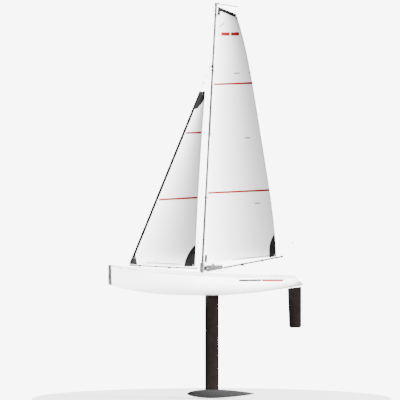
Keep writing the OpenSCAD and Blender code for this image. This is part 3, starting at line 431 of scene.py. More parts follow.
def braid_tree():
    """A laid line along each path: strands show as lobes that twist round it."""
    tree, start, end = new_tree("Braided line", [
        ("Radius", "NodeSocketFloat", 0.4 * MM),
        ("Spacing", "NodeSocketFloat", 0.6 * MM),
        ("Twist", "NodeSocketFloat", 0.55),
        ("Material", "NodeSocketMaterial", None),
    ])
    nodes, wires = tree.nodes, tree.links
    to_curve = nodes.new("GeometryNodeMeshToCurve")
    resample = nodes.new("GeometryNodeResampleCurve")
    resample.mode = "LENGTH"
    tilt = nodes.new("GeometryNodeSetCurveTilt")
    index = nodes.new("GeometryNodeInputIndex")
    times = nodes.new("ShaderNodeMath")
    times.operation = "MULTIPLY"
    profile = nodes.new("GeometryNodeCurvePrimitiveCircle")
    profile.mode = "RADIUS"
    profile.inputs["Resolution"].default_value = 9
    lobes = nodes.new("GeometryNodeSetPosition")
    place = nodes.new("GeometryNodeInputPosition")
    lobe_index = nodes.new("GeometryNodeInputIndex")
    third = nodes.new("ShaderNodeMath")
    third.operation = "MODULO"
    third.inputs[1].default_value = 3
    under = nodes.new("ShaderNodeMath")
    under.operation = "LESS_THAN"
    under.inputs[1].default_value = 0.5
    depth = nodes.new("ShaderNodeMath")
    depth.operation = "MULTIPLY_ADD"
    depth.inputs[1].default_value = -0.16
    depth.inputs[2].default_value = 1.0
    scale = nodes.new("ShaderNodeVectorMath")
    scale.operation = "SCALE"
    skin = nodes.new("GeometryNodeCurveToMesh")
    skin.inputs["Fill Caps"].default_value = True
    realize = nodes.new("GeometryNodeRealizeInstances")
    paint = nodes.new("GeometryNodeSetMaterial")
    wires.new(start.outputs["Geometry"], to_curve.inputs["Mesh"])
    wires.new(to_curve.outputs["Curve"], resample.inputs["Curve"])
    wires.new(start.outputs["Spacing"], resample.inputs["Length"])
    wires.new(resample.outputs["Curve"], tilt.inputs["Curve"])
    wires.new(index.outputs[0], times.inputs[0])
    wires.new(start.outputs["Twist"], times.inputs[1])
    wires.new(times.outputs[0], tilt.inputs["Tilt"])
    wires.new(start.outputs["Radius"], profile.inputs["Radius"])
    wires.new(profile.outputs["Curve"], lobes.inputs["Geometry"])
    wires.new(lobe_index.outputs[0], third.inputs[0])
    wires.new(third.outputs[0], under.inputs[0])
    wires.new(under.outputs[0], depth.inputs[0])
    wires.new(place.outputs[0], scale.inputs[0])
    wires.new(depth.outputs[0], scale.inputs["Scale"])
    wires.new(scale.outputs["Vector"], lobes.inputs["Position"])
    wires.new(tilt.outputs["Curve"], skin.inputs["Curve"])
    wires.new(lobes.outputs["Geometry"], skin.inputs["Profile Curve"])
    wires.new(skin.outputs["Mesh"], realize.inputs["Geometry"])
    wires.new(realize.outputs["Geometry"], paint.inputs["Geometry"])
    wires.new(start.outputs["Material"], paint.inputs["Material"])
    wires.new(paint.outputs["Geometry"], end.inputs["Geometry"])
    return tree


def line_piece(name, paths, radius, material, body, slot="line_white", replaces=()):
    """Braided lines along the given paths, as one piece."""
    values = {"Radius": radius, "Spacing": 1.4 * radius, "Material": material}
    return grown(path_object(paths), TREES["braid"](), values, name, material, body, slot, replaces)


def repeat_tree():
    """The same small part on every point of the source, turned to the point's aim attribute."""
    tree, start, end = new_tree("Repeated part", [
        ("Part", "NodeSocketObject", None),
        ("Size", "NodeSocketFloat", 1.0),
        ("Material", "NodeSocketMaterial", None),
    ])
    nodes, wires = tree.nodes, tree.links
    part = nodes.new("GeometryNodeObjectInfo")
    aim = nodes.new("GeometryNodeInputNamedAttribute")
    aim.data_type = "FLOAT_VECTOR"
    aim.inputs["Name"].default_value = "aim"
    turn = nodes.new("FunctionNodeAlignRotationToVector")
    turn.axis = "Z"
    spread = nodes.new("GeometryNodeInstanceOnPoints")
    realize = nodes.new("GeometryNodeRealizeInstances")
    paint = nodes.new("GeometryNodeSetMaterial")
    wires.new(start.outputs["Part"], part.inputs["Object"])
    wires.new(start.outputs["Geometry"], spread.inputs["Points"])
    wires.new(part.outputs["Geometry"], spread.inputs["Instance"])
    wires.new(aim.outputs["Attribute"], turn.inputs["Vector"])
    wires.new(turn.outputs["Rotation"], spread.inputs["Rotation"])
    wires.new(start.outputs["Size"], spread.inputs["Scale"])
    wires.new(spread.outputs["Instances"], realize.inputs["Geometry"])
    wires.new(realize.outputs["Geometry"], paint.inputs["Geometry"])
    wires.new(start.outputs["Material"], paint.inputs["Material"])
    wires.new(paint.outputs["Geometry"], end.inputs["Geometry"])
    return tree


def repeated(name, part, spots, material, body, slot, replaces=()):
    """Copies of a part, given as points and faces, at spots of (place, aim), as one piece."""
    part_mesh = bpy.data.meshes.new("part")
    part_mesh.from_pydata([tuple(p) for p in part[0]], [], part[1])
    finish_mesh(part_mesh)
    pattern = link(part_mesh, "part")
    source_mesh = bpy.data.meshes.new("spots")
    source_mesh.from_pydata([tuple(place) for place, _ in spots], [], [])
    aims = source_mesh.attributes.new("aim", "FLOAT_VECTOR", "POINT")
    for k, (_, aim) in enumerate(spots):
        aims.data[k].vector = aim
    values = {"Part": pattern, "Size": 1.0, "Material": material}
    source = link(source_mesh, "spots")
    piece = grown(source, TREES["repeat"](), values, name, material, body, slot, replaces)
    bpy.data.objects.remove(pattern)
    return piece


MADE_TREES = {}


def once(name, maker):
    """Each tree is made the first time it is wanted."""
    def wanted():
        if name not in MADE_TREES:
            MADE_TREES[name] = maker()
        return MADE_TREES[name]
    return wanted


TREES = {"braid": once("braid", braid_tree), "repeat": once("repeat", repeat_tree)}


# ---------------------------------------------------------------- finishes


def new_material(name, colour, roughness, metallic=0.0, coat=0.0, specular=0.5):
    material = bpy.data.materials.new(name)
    material.use_nodes = True
    shader = material.node_tree.nodes["Principled BSDF"]
    shader.inputs["Base Color"].default_value = colour
    shader.inputs["Roughness"].default_value = roughness
    shader.inputs["Metallic"].default_value = metallic
    shader.inputs["Specular IOR Level"].default_value = specular
    shader.inputs["Coat Weight"].default_value = coat
    shader.inputs["Coat Roughness"].default_value = 0.06
    return material, material.node_tree.nodes, material.node_tree.links, shader


def scaled_place(nodes, wires, output, scale):
    place = nodes.new("ShaderNodeTexCoord")
    mapping = nodes.new("ShaderNodeMapping")
    mapping.inputs["Scale"].default_value = scale
    wires.new(place.outputs[output], mapping.inputs["Vector"])
    return mapping.outputs["Vector"]


def noise(nodes, wires, vector, scale, detail=3.0):
    texture = nodes.new("ShaderNodeTexNoise")
    texture.inputs["Scale"].default_value = scale
    texture.inputs["Detail"].default_value = detail
    wires.new(vector, texture.inputs["Vector"])
    return texture.outputs["Fac"]


def spread_value(nodes, wires, factor, low, high):
    ramp = nodes.new("ShaderNodeMapRange")
    ramp.inputs["From Min"].default_value = 0.3
    ramp.inputs["From Max"].default_value = 0.7
    ramp.inputs["To Min"].default_value = low
    ramp.inputs["To Max"].default_value = high
    wires.new(factor, ramp.inputs["Value"])
    return ramp.outputs["Result"]


def bump(nodes, wires, height, shader, distance, strength=1.0):
    relief = nodes.new("ShaderNodeBump")
    relief.inputs["Distance"].default_value = distance
    relief.inputs["Strength"].default_value = strength
    wires.new(height, relief.inputs["Height"])
    wires.new(relief.outputs["Normal"], shader.inputs["Normal"])


def tinted(nodes, wires, factor, colour, share, shader):
    """Lets the colour wander by a share of its brightness."""
    mix = nodes.new("ShaderNodeMix")
    mix.data_type = "RGBA"
    mix.inputs["A"].default_value = [c * (1 - share) for c in colour[:3]] + [1]
    mix.inputs["B"].default_value = [min(1, c * (1 + share)) for c in colour[:3]] + [1]
    wires.new(factor, mix.inputs["Factor"])
    wires.new(mix.outputs["Result"], shader.inputs["Base Color"])


def moulded(
    name, colour, roughness, grain=900, depth=0.02, mottle=0.05, metallic=0.0, coat=0.0, wander=0.06,
    specular=0.5,
):
    """Moulded, painted or cast surface: fine grain in its relief, and slow changes of shade and gloss."""
    material, nodes, wires, shader = new_material(name, colour, roughness, metallic, coat, specular)
    vector = scaled_place(nodes, wires, "Object", (1, 1, 1))
    slow = noise(nodes, wires, vector, 14)
    tinted(nodes, wires, slow, colour, mottle, shader)
    wires.new(
        spread_value(nodes, wires, noise(nodes, wires, vector, 60), roughness - wander, roughness + wander),
        shader.inputs["Roughness"],
    )
    bump(nodes, wires, noise(nodes, wires, vector, grain), shader, depth * MM)
    return material


def drawn(name, colour, roughness, stretch, depth=0.01, metallic=0.6, specular=0.5):
    """Tube or rod with fine lines along its length."""
    material, nodes, wires, shader = new_material(name, colour, roughness, metallic, 0, specular)
    vector = scaled_place(nodes, wires, "Object", stretch)
    lines = noise(nodes, wires, vector, 1.0, 4)
    tinted(nodes, wires, lines, colour, 0.22, shader)
    wires.new(
        spread_value(nodes, wires, lines, roughness - 0.08, roughness + 0.1), shader.inputs["Roughness"]
    )
    bump(nodes, wires, lines, shader, depth * MM)
    return material


def woven(name, colour, roughness, pitch, depth, shade, output="Object", sheen=0.0, specular=0.5):
    """Cloth or film with threads both ways."""
    material, nodes, wires, shader = new_material(name, colour, roughness, 0, 0, specular)
    shader.inputs["Sheen Weight"].default_value = sheen
    vector = scaled_place(nodes, wires, output, (1, 1, 1))
    waves = []
    for direction in ("X", "Z" if output == "Object" else "Y"):
        wave = nodes.new("ShaderNodeTexWave")
        wave.bands_direction = direction
        wave.inputs["Scale"].default_value = 0.314 / (pitch * MM)
        wave.inputs["Distortion"].default_value = 0.4
        wires.new(vector, wave.inputs["Vector"])
        waves.append(wave.outputs["Fac"])
    threads = nodes.new("ShaderNodeMath")
    threads.operation = "MAXIMUM"
    wires.new(waves[0], threads.inputs[0])
    wires.new(waves[1], threads.inputs[1])
    cloud = noise(nodes, wires, vector, 30)
    blend = nodes.new("ShaderNodeMath")
    blend.operation = "MULTIPLY"
    wires.new(threads.outputs[0], blend.inputs[0])
    wires.new(cloud, blend.inputs[1])
    tinted(nodes, wires, blend.outputs[0], colour, shade, shader)
    bump(nodes, wires, threads.outputs[0], shader, depth * MM)
    return material


def foamed(name, colour):
    """Closed-cell foam."""
    material, nodes, wires, shader = new_material(name, colour, 0.85)
    cells = nodes.new("ShaderNodeTexVoronoi")
    cells.inputs["Scale"].default_value = 1400
    wires.new(scaled_place(nodes, wires, "Object", (1, 1, 1)), cells.inputs["Vector"])
    tinted(nodes, wires, cells.outputs["Distance"], colour, 0.3, shader)
    bump(nodes, wires, cells.outputs["Distance"], shader, 0.1 * MM)
    return material


FINISHES = {}


def make_finishes(colours):
    """Every finish, kept by a short name."""
    made = {
        "hull": moulded("Gelcoat", colours.hull, 0.16, 260, 0.012, 0.012, coat=0.7, wander=0.04),
        "deck": moulded("Satin deck", colours.deck, 0.36, 1100, 0.03, 0.015, coat=0.15),
        "blade": moulded("Black blade", colours.blade, 0.45, 420, 0.02, 0.15, specular=0.08),
        "bulb": moulded("Painted lead", colours.bulb, 0.42, 320, 0.06, 0.1, specular=0.12),
        "tube": drawn("Anodised tube", colours.tube, 0.42, (700, 700, 9), metallic=0.1, specular=0.35),
        "boom": drawn("Anodised boom", colours.tube, 0.42, (9, 700, 700), metallic=0.1, specular=0.35),
        "steel": drawn("Bright steel", (0.55, 0.55, 0.57, 1), 0.24, (900, 900, 40), metallic=1.0),
        "alloy": drawn("Satin alloy", (0.6, 0.6, 0.62, 1), 0.34, (500, 500, 30), metallic=1.0),
        "black": moulded("Black moulding", colours.fitting, 0.46, 1500, 0.03, 0.2),
        "grey": moulded("Grey moulding", colours.grey_fitting, 0.5, 1500, 0.03, 0.15),
        "rubber": moulded("Rubber", colours.rubber, 0.62, 800, 0.05, 0.2),
        "nylon": moulded("Nylon", colours.nylon, 0.42, 1200, 0.02, 0.04),
        "tray": moulded("Tray plastic", colours.tray, 0.48, 900, 0.03, 0.04),
        "servo": moulded("Textured case", (0.02, 0.02, 0.023, 1), 0.55, 2600, 0.06, 0.2),
        "cell": moulded("Shrink sleeve", colours.cell, 0.22, 200, 0.03, 0.08, coat=0.3),
        "knob": moulded("Red knob", colours.knob, 0.34, 1200, 0.02, 0.06),
        "foam": foamed("Seal foam", (0.06, 0.06, 0.06, 1)),
        # Painted shade: dark finish of the bead that stands for the shadow line where deck meets hull
        "seam": moulded("Painted gap shade", colours.seam, 0.5, 900, 0.02, 0.1),
        "film": woven("Sail film", colours.sail, 0.55, 0.9, 0.006, 0.012, "UV", specular=0.2),
        "tape": woven("White tape", colours.sail, 0.42, 0.5, 0.01, 0.02),
        "patch": woven("Black cloth", colours.patch, 0.75, 0.45, 0.03, 0.4, specular=0.1),
        "stripe": woven("Red tape", colours.stripe, 0.55, 0.5, 0.012, 0.06, specular=0.15),
        "line": woven("Braided line", colours.line, 0.7, 0.25, 0.03, 0.06, sheen=0.2),
    }
    FINISHES.update(made)


# ---------------------------------------------------------------- hull form


def along(x):
    return (x - STEM_X) / (STERN_X - STEM_X)


def ridge_z(x):
    level = STERN_TOP + (STEM_TOP - STERN_TOP) * max(0, 1 - along(x)) ** 2.06
    return level - (STERN_DROP * (x - CUT_X) / STERN_CUT if x > CUT_X else 0)


def bottom_z(x):
    return BOW_RISE * (x / STEM_X) ** 3 if x < 0 else STERN_RISE * (x / STERN_X) ** 1.65


def half_beam(x):
    u = max(0, along(x))
    if u < WIDEST_SHARE:
        swell = math.sin(math.pi / 2 * (u / WIDEST_SHARE) ** 0.9)
        return STEM_HALF_WIDTH + (HALF_BEAM - STEM_HALF_WIDTH) * swell
    fade = ((u - WIDEST_SHARE) / (1 - WIDEST_SHARE)) ** 1.6
    return TRANSOM_HALF_WIDTH + (HALF_BEAM - TRANSOM_HALF_WIDTH) * math.cos(math.pi / 2 * fade)


def crown(x):
    return DECK_CROWN * (half_beam(x) / HALF_BEAM) ** 0.6


def gunwale_z(x):
    return ridge_z(x) - crown(x)


def rim_z(x):
    return gunwale_z(x) - DECK_WALL


def flange(x):
    return min(DECK_FLANGE, 0.4 * half_beam(x))


def deck_z(x, y):
    return gunwale_z(x) + crown(x) * max(0, 1 - (y / (half_beam(x) - flange(x))) ** 2)


def rib(x, inset, count):
    power = 2 / (1.35 + 0.9 * min(1, max(0, along(x)) / 0.45))
    ring = []
    for k in range(count):
        a = math.pi * (k / (count - 1) - 0.5)
        side = math.copysign(abs(math.sin(a)) ** power, a) if abs(a) > 1e-9 else 0
        drop = max(0, math.cos(a)) ** power
        ring.append(Vector((
            x, (half_beam(x) - inset) * side, rim_z(x) - (rim_z(x) - bottom_z(x) - inset) * drop
        )))
    return ring


def edge_fall(distance, radius):
    """How far a rounded edge has fallen, at a distance in from it."""
    if distance >= radius:
        return 0
    return radius - math.sqrt(max(0, radius ** 2 - (radius - max(0, distance)) ** 2))


def hull_stations():
    body = [STEM_X + (STERN_X - STEM_X) * k / 150 for k in range(150)]
    rounded = [STERN_X - 1.2 * MM * (1 - math.sin(math.pi / 2 * k / 5)) for k in range(6)]
    return [x for x in body if x < rounded[0] - 0.2 * MM] + rounded


def hull_shape():
    """Outer skin, lining, rim and both ends, as one closed mesh."""
    stations = hull_stations()
    count, last = 49, len(stations) - 1
    outer = [rib(x, edge_fall(STERN_X - x, 1.2 * MM), count) for x in stations]
    low, high = STEM_X + 5 * MM, STERN_X - HULL_WALL
    inner = [rib(low + (high - low) * along(x), HULL_WALL, count) for x in stations]
    points = [p for ring in outer + inner for p in ring]
    inside = count * (last + 1)
    faces = []
    for i in range(last):
        for j in range(count - 1):
            a, b = i * count + j, (i + 1) * count + j
            faces += [(a, a + 1, b + 1, b), (inside + a, inside + b, inside + b + 1, inside + a + 1)]
        for j in (0, count - 1):
            a, b = i * count + j, (i + 1) * count + j
            faces.append((a, b, inside + b, inside + a))
    for i in (0, last):
        start = i * count
        faces.append(tuple(range(start, start + count)))
        faces.append(tuple(range(inside + start, inside + start + count)))
        faces.append((start, start + count - 1, inside + start + count - 1, inside + start))
    return points, faces


def carved(points, faces, holes, name):
    """A mesh with round holes straight through it: each is (x, y, radius, lowest, highest)."""
    mesh = bpy.data.meshes.new(name)
    mesh.from_pydata([tuple(p) for p in points], [], faces)
    finish_mesh(mesh)
    block = link(mesh, "block")
    cutters = []
    for x, y, radius, low, high in holes:
        part = turned([(radius, 0), (radius, high - low)], Vector((x, y, low)), Vector((0, 0, 1)), 32)
        tool_mesh = bpy.data.meshes.new("cutter")
        tool_mesh.from_pydata([tuple(p) for p in part[0]], [], part[1])
        finish_mesh(tool_mesh)
        tool = link(tool_mesh, "cutter")
        cutters.append(tool)
        bore = block.modifiers.new("Bore", "BOOLEAN")
        bore.operation = "DIFFERENCE"
        bore.solver = "EXACT"
        bore.object = tool
    graph = bpy.context.evaluated_depsgraph_get()
    result = bpy.data.meshes.new_from_object(block.evaluated_get(graph))
    for extra in [block, *cutters]:
        bpy.data.objects.remove(extra)
    finish_mesh(result, 30)
    result.name = name
    return link(result, name)


def deck_columns(x):
    """Positions across the deck, from its edge to the middle, with lines at the hatch's sides."""
    outer, shelf = half_beam(x), half_beam(x) - flange(x)
    hatch = min(HATCH_HIGH.y + LID_GAP, 0.6 * shelf)
    edge = [outer, outer - 0.1 * MM, outer - 0.3 * MM, outer - 0.7 * MM, outer - 1.2 * MM]
    between = [shelf + (hatch - shelf) * k / 10 for k in range(10)]
    rim = [hatch + 0.8 * MM, hatch + 0.35 * MM, hatch + 0.1 * MM, hatch]
    middle = [hatch * (1 - k / 12) for k in range(1, 12)]
    return edge + between + rim + middle


def deck_shape():
    """Deck with its rounded edge and hatch opening, and the ledge under it."""
    start, end = HATCH_LOW.x - LID_GAP, HATCH_HIGH.x + LID_GAP
    rims = [0, 0.1 * MM, 0.35 * MM, 0.8 * MM]
    stations = [x for x in hull_stations() if x < start - 1.5 * MM or start + 1.5 * MM < x < end - 1.5 * MM
                or x > end + 1.5 * MM]
    stations = sorted(stations + [start - r for r in rims] + [end + r for r in rims])
    rows = []
    for x in stations:
        side = deck_columns(x)
        rows.append([(x, -y) for y in side] + [(x, 0.0)] + [(x, y) for y in reversed(side)])
    first, last = stations.index(start), stations.index(end)
    left = len(deck_columns(0)) - 12
    right = len(rows[0]) - 1 - left
    holes = {(i, j) for i in range(first, last) for j in range(left, right)}
    half_width = HATCH_HIGH.y + LID_GAP

    def top(p):
        x, y = p
        beside = max(abs(y) - half_width, start - x, x - end)
        fall = edge_fall(half_beam(x) - abs(y), 1.2 * MM) + edge_fall(beside, 0.8 * MM)
        fall += edge_fall(STERN_X - x, 1.2 * MM)
        return Vector((x, y, deck_z(x, y) - min(fall, 1.4 * MM)))

    def below(p):
        return Vector((p[0], p[1], deck_z(*p) - DECK_WALL + 0.02 * MM))

    ledge_rows, ledge_holes = hatch_grid(3 * MM, 4 * MM)

    def shelf(p):
        outside = max(abs(p[1]) - half_width, start - p[0], p[0] - end) > 0.005 * MM
        return Vector((*p, deck_z(*p) - (1.6 * MM if outside else 3.0 * MM)))

    ledge = slab(
        ledge_rows,
        shelf,
        lambda p: Vector((*p, deck_z(*p) - 4.3 * MM)),
        ledge_holes,
    )
    return join_parts([slab(rows, top, below, holes), ledge])


def hatch_grid(outside, inside):
    """Rows over the hatch, grown by outside; the middle, shrunk by inside, is left out."""
    def lines(low, high):
        middle = [low + inside + (high - low - 2 * inside) * k / 16 for k in range(17)]
        return [low - outside, low - 0.02 * MM, low] + middle + [high, high + 0.02 * MM, high + outside]
    xs = lines(HATCH_LOW.x - LID_GAP, HATCH_HIGH.x + LID_GAP)
    ys = lines(HATCH_LOW.y - LID_GAP, HATCH_HIGH.y + LID_GAP)
    holes = {(i, j) for i in range(3, len(xs) - 4) for j in range(3, len(ys) - 4)}
    return [[(x, y) for y in ys] for x in xs], holes


def lid_shape():
    """The hatch lid, with a rounded edge and a shallow panel line inside it."""
    def lines(low, high):
        edge = [0, 0.1 * MM, 0.3 * MM, 0.7 * MM, 4.6 * MM, 5.0 * MM, 5.4 * MM]
        middle = [low + 6 * MM + (high - low - 12 * MM) * k / 20 for k in range(21)]
        return [low + e for e in edge] + middle + [high - e for e in reversed(edge)]
    xs, ys = lines(HATCH_LOW.x, HATCH_HIGH.x), lines(HATCH_LOW.y, HATCH_HIGH.y)

    def top(p):
        x, y = p
        inwards = min(x - HATCH_LOW.x, HATCH_HIGH.x - x, y - HATCH_LOW.y, HATCH_HIGH.y - y)
        groove = 0.3 * MM if abs(inwards - 5 * MM) < 0.1 * MM else 0
        return Vector((x, y, deck_z(x, y) - edge_fall(inwards, 0.7 * MM) - groove))

    return slab([[(x, y) for y in ys] for x in xs], top, lambda p: Vector((*p, deck_z(*p) - 1.7 * MM)))


def foil(t):
    return 5 * (0.2969 * math.sqrt(t) - 0.126 * t - 0.3516 * t ** 2 + 0.2843 * t ** 3 - 0.1036 * t ** 4)


def foil_ring(front, chord, thickness, place):
    """Closed outline of a foil; place gives the point for its x and y."""
    shares = [(k / 36) ** 1.7 for k in range(37)]
    upper = [place(front + chord * t, thickness * foil(t)) for t in shares]
    return upper + [place(front + chord * t, -thickness * foil(t)) for t in shares[-2:0:-1]]


def fin_shape():
    chord = FIN_HIGH.x - FIN_LOW.x
    thickness = 6 * MM
    return loft([
        foil_ring(FIN_LOW.x, chord, thickness, lambda x, y, z=z: Vector((x, y, z)))
        for z in (FIN_LOW.z, -0.2, -0.1, 0, FIN_HIGH.z)
    ])


def bulb_shape():
    length = BULB_HIGH.x - BULB_LOW.x
    radius = 14.25 * MM
    profile = []
    for k in range(121):
        t = 0.5 - 0.5 * math.cos(math.pi * k / 120)
        swell = math.sin(math.pi * t ** (math.log(0.5) / math.log(0.365))) if 0 < t < 1 else 0
        profile.append((max(0.02 * MM, radius * max(0, swell) ** 0.75), length * t))
    return turned(profile, Vector((BULB_LOW.x, 0, -314 * MM - radius)), Vector((1, 0, 0)), 72)


def blade_shape():
    ahead, height = 11.4 * MM, 133 * MM
    axis = RUDDER_AXIS.x

    def top(x):
        return bottom_z(x) - 2 * MM - 0.05 * (x - axis + ahead)

    low = top(axis) - height
    rings = []
    for k in range(61):
        level = 1 - (1 - k / 60) ** 1.6
        tip = max(0, (level - 0.94) / 0.06)
        trim = 7 * MM * (1 - math.sqrt(1 - 0.97 * tip * tip))
        front = axis - ahead + 5 * MM * level + trim
        chord = axis - ahead + 45 * MM - trim - front
        thin = math.sqrt(1 - 0.8 * tip * tip)
        rings.append(foil_ring(front, chord, 5 * MM * thin, lambda x, y, level=level: Vector(
            (x, y, top(x) * (1 - level) + low * level)
        )))
    return loft(rings)


# ---------------------------------------------------------------- sails


class Sail:
    """One sail's surface, from its edges, by shares across and up or by a place in X and Z."""

    def __init__(self, luff, leech, film):
        self.luff = luff
        self.leech = leech
        self.film = film

    def chord(self, v):
        """Straight distance from luff to leech."""
        return (self.leech(v) - self.luff(v)).length

    def point(self, s, v):
        low, high = self.luff(v), self.leech(v)
        belly = 4 * s * (1 - s) * (1.25 - 0.5 * s)
        return low + s * (high - low) + Vector((0, SAIL_DRAFT * (high - low).length * belly, 0))

    def shares(self, x, z):
        """Share across and share up of the place (x, z)."""
        v = 0.5
        height = self.luff(1).z - self.luff(0).z
        for _ in range(24):
            low, high = self.luff(v), self.leech(v)
            s = (x - low.x) / (high.x - low.x)
            v += (z - low.z - s * (high.z - low.z)) / height
        return s, v

    def at(self, x, z):
        """The surface's point there."""
        s, v = self.shares(x, z)
        return self.point(min(1, max(0, s)), v)

    def surface(self, across, up):
        """The film itself, with its flat lengths for UVs."""
        rows, uvs = [], []
        height = (self.luff(1) - self.luff(0)).length
        for j in range(up + 1):
            v = j / up
            rows.append([(k / across, v) for k in range(across + 1)])
            chord = self.chord(v)
            uvs += [(chord * k / across, v * height) for k in range(across + 1)]
        half = Vector((0, self.film / 2, 0))
        points, faces = slab(rows, lambda p: self.point(*p) - half, lambda p: self.point(*p) + half)
        return points, faces, uvs + uvs

    def overlay(self, left, right, across, thickness):
        """Tape or patch on both faces, between two lines of (x, z) places."""
        parts = []
        for side in (-1, 1):
            rows = [
                [tuple(a[n] + (b[n] - a[n]) * k / across for n in (0, 1)) for k in range(across + 1)]
                for a, b in zip(left, right)
            ]
            near = Vector((0, side * self.film * 0.3, 0))
            far = Vector((0, side * (self.film / 2 + thickness), 0))
            parts.append(slab(rows, lambda p: self.at(*p) + near, lambda p: self.at(*p) + far))
        return join_parts(parts)

    def strip(self, start, end, width, thickness, steps=24):
        """Straight tape from one place to another."""
        run = Vector((end[0] - start[0], end[1] - start[1])).normalized()
        side = Vector((-run.y, run.x)) * width / 2
        line = [
            (start[0] + (end[0] - start[0]) * k / steps, start[1] + (end[1] - start[1]) * k / steps)
            for k in range(steps + 1)
        ]
        left = [(x - side.x, z - side.y) for x, z in line]
        right = [(x + side.x, z + side.y) for x, z in line]
        return self.overlay(left, right, 2, thickness)

    def edge(self, share_low, share_high, v_low, v_high, thickness, across=2, steps=80):
        """Tape between two shares across, up a length of the sail."""
        def place(s, v):
            p = self.point(s, v)
            return p.x, p.z
        levels = [v_low + (v_high - v_low) * k / steps for k in range(steps + 1)]
        left = [place(share_low(v), v) for v in levels]
        right = [place(share_high(v), v) for v in levels]
        return self.overlay(left, right, across, thickness)

    def ring_spots(self, places):
        """Places for eyelets, with their aims."""
        return [(self.at(x, z), Vector((0, 1, 0))) for x, z in places]

    def area(self):
        """Flat area, from the chords' lengths."""
        up = (self.luff(1) - self.luff(0)).length
        chords = [self.chord(k / 40) for k in range(41)]
        slope = (self.luff(1) - self.luff(0)).normalized()
        lean = abs(slope.cross(Vector((1, 0, 0))).length)
        return up * lean * (sum(chords) - (chords[0] + chords[-1]) / 2) / 40


def main_luff(v):
    return MAIN_TACK + v * (MAIN_HEAD - MAIN_TACK)


def main_leech(v):
    roach = MAIN_ROACH * (1 - abs(2 * v - 1) ** 4) * (0.85 + 0.2 * v)
    return MAIN_CLEW + v * (MAIN_PEAK - MAIN_CLEW) + Vector((roach, 0, 0))


def jib_luff(v):
    return JIB_TACK + (LUFF_BAND - SLEEVE_FRONT) * BAND_SIDE + v * (JIB_HEAD - JIB_TACK)


def jib_leech(v):
    return JIB_CLEW + v * (JIB_LEECH_TOP - JIB_CLEW) - Vector((JIB_HOLLOW * 4 * v * (1 - v), 0, 0))


def places(*pairs):
    """Places given in millimetres."""
    return [(x * MM, z * MM) for x, z in pairs]


def curve_between(points, steps):
    """Places along a smooth line through the given ones."""
    line = []
    for i in range(len(points) - 1):
        before, a = points[max(0, i - 1)], points[i]
        b, after = points[i + 1], points[min(len(points) - 1, i + 2)]
        for k in range(steps + (i == len(points) - 2)):
            t = k / steps
            line.append(tuple(
                0.5 * (
                    2 * a[n] + (b[n] - before[n]) * t
                    + (2 * before[n] - 5 * a[n] + 4 * b[n] - after[n]) * t * t
                    + (3 * a[n] - before[n] - 3 * b[n] + after[n]) * t ** 3
                )
                for n in (0, 1)
            ))
    return line


def eyelet_shape(radius):
    """Flanged metal ring, seen from both faces of the sail."""
    profile = [
        (radius * 0.52, 0), (radius * 0.6, 0.3 * MM), (radius * 0.8, 0.42 * MM), (radius, 0.2 * MM),
        (radius, -0.2 * MM), (radius * 0.8, -0.42 * MM), (radius * 0.6, -0.3 * MM),
    ]
    steps, count = 28, len(profile)
    points, faces = [], []
    for k in range(steps):
        a = 2 * math.pi * k / steps
        points += [Vector((r * math.cos(a), r * math.sin(a), h)) for r, h in profile]
    for k in range(steps):
        n = (k + 1) % steps
        for m in range(count):
            o = (m + 1) % count
            faces.append((k * count + m, n * count + m, n * count + o, k * count + o))
    return points, faces


# ---------------------------------------------------------------- the pieces


def sizes():
    return bpy.context.scene.yacht_sizes


def hull_pieces():
    points, faces = hull_shape()
    add_piece("hull_skin", points, faces, FINISHES["hull"], "hull", "hull_white", ["hull_shell"], angle=50)
    refined("bow_bumper", FINISHES["rubber"], "hull", 0.8 * MM, 3)
    trim_pieces()


def topside(x, z, out):
    """Point on the hull's port side at a height, moved outwards."""
    power = 2 / (1.35 + 0.9 * min(1, max(0, along(x)) / 0.45))
    drop = (rim_z(x) - z) / (rim_z(x) - bottom_z(x))
    return Vector((x, -half_beam(x) * (1 - drop ** (2 / power)) ** (power / 2) - out, z))


def gap_shade_shape():
    """Dark bead along the joint of hull and deck, on both sides: painted shade for the thin shadow line under
    the deck's edge.
    """
    stations = [x for x in hull_stations() if x < STERN_X - 1.5 * MM]
    parts = []
    for side in (-1, 1):
        parts.append(loft([
            [
                Vector((
                    x,
                    side * (half_beam(x) - 0.05 * MM + sizes().seam * math.cos(math.pi * k / 4)),
                    rim_z(x) + 0.1 * MM + sizes().seam * math.sin(math.pi * k / 4),
                ))
                for k in range(8)
            ]
            for x in stations
        ]))
    return join_parts(parts)


def mark_shape(start, end, low, high):
    """Plain bar on each topside."""
    parts = []
    for side in (1, -1):
        rows = [
            [(start + (end - start) * k / 24, low + (high - low) * n / 3) for n in range(4)]
            for k in range(25)
        ]
        flip = Vector((1, side, 1))
        parts.append(slab(
            rows, lambda p: topside(*p, 0.12 * MM) * flip, lambda p: topside(*p, -0.3 * MM) * flip
        ))
    return join_parts(parts)


def trim_pieces():
    # Painted shade: a dark bead along the gunwale for the shadow line under the deck's edge
    points, faces = gap_shade_shape()
    add_piece("sheer_seam", points, faces, FINISHES["seam"], "hull", "black_fitting", angle=60)
    for name, finish, start, end in (("dark", "patch", 90, 164), ("red", "stripe", 166, 238)):
        points, faces = mark_shape(start * MM, end * MM, 48.5 * MM, 55 * MM)
        add_piece(f"topside_{name}_bar", points, faces, FINISHES[finish], "hull", "hull_white", angle=60)


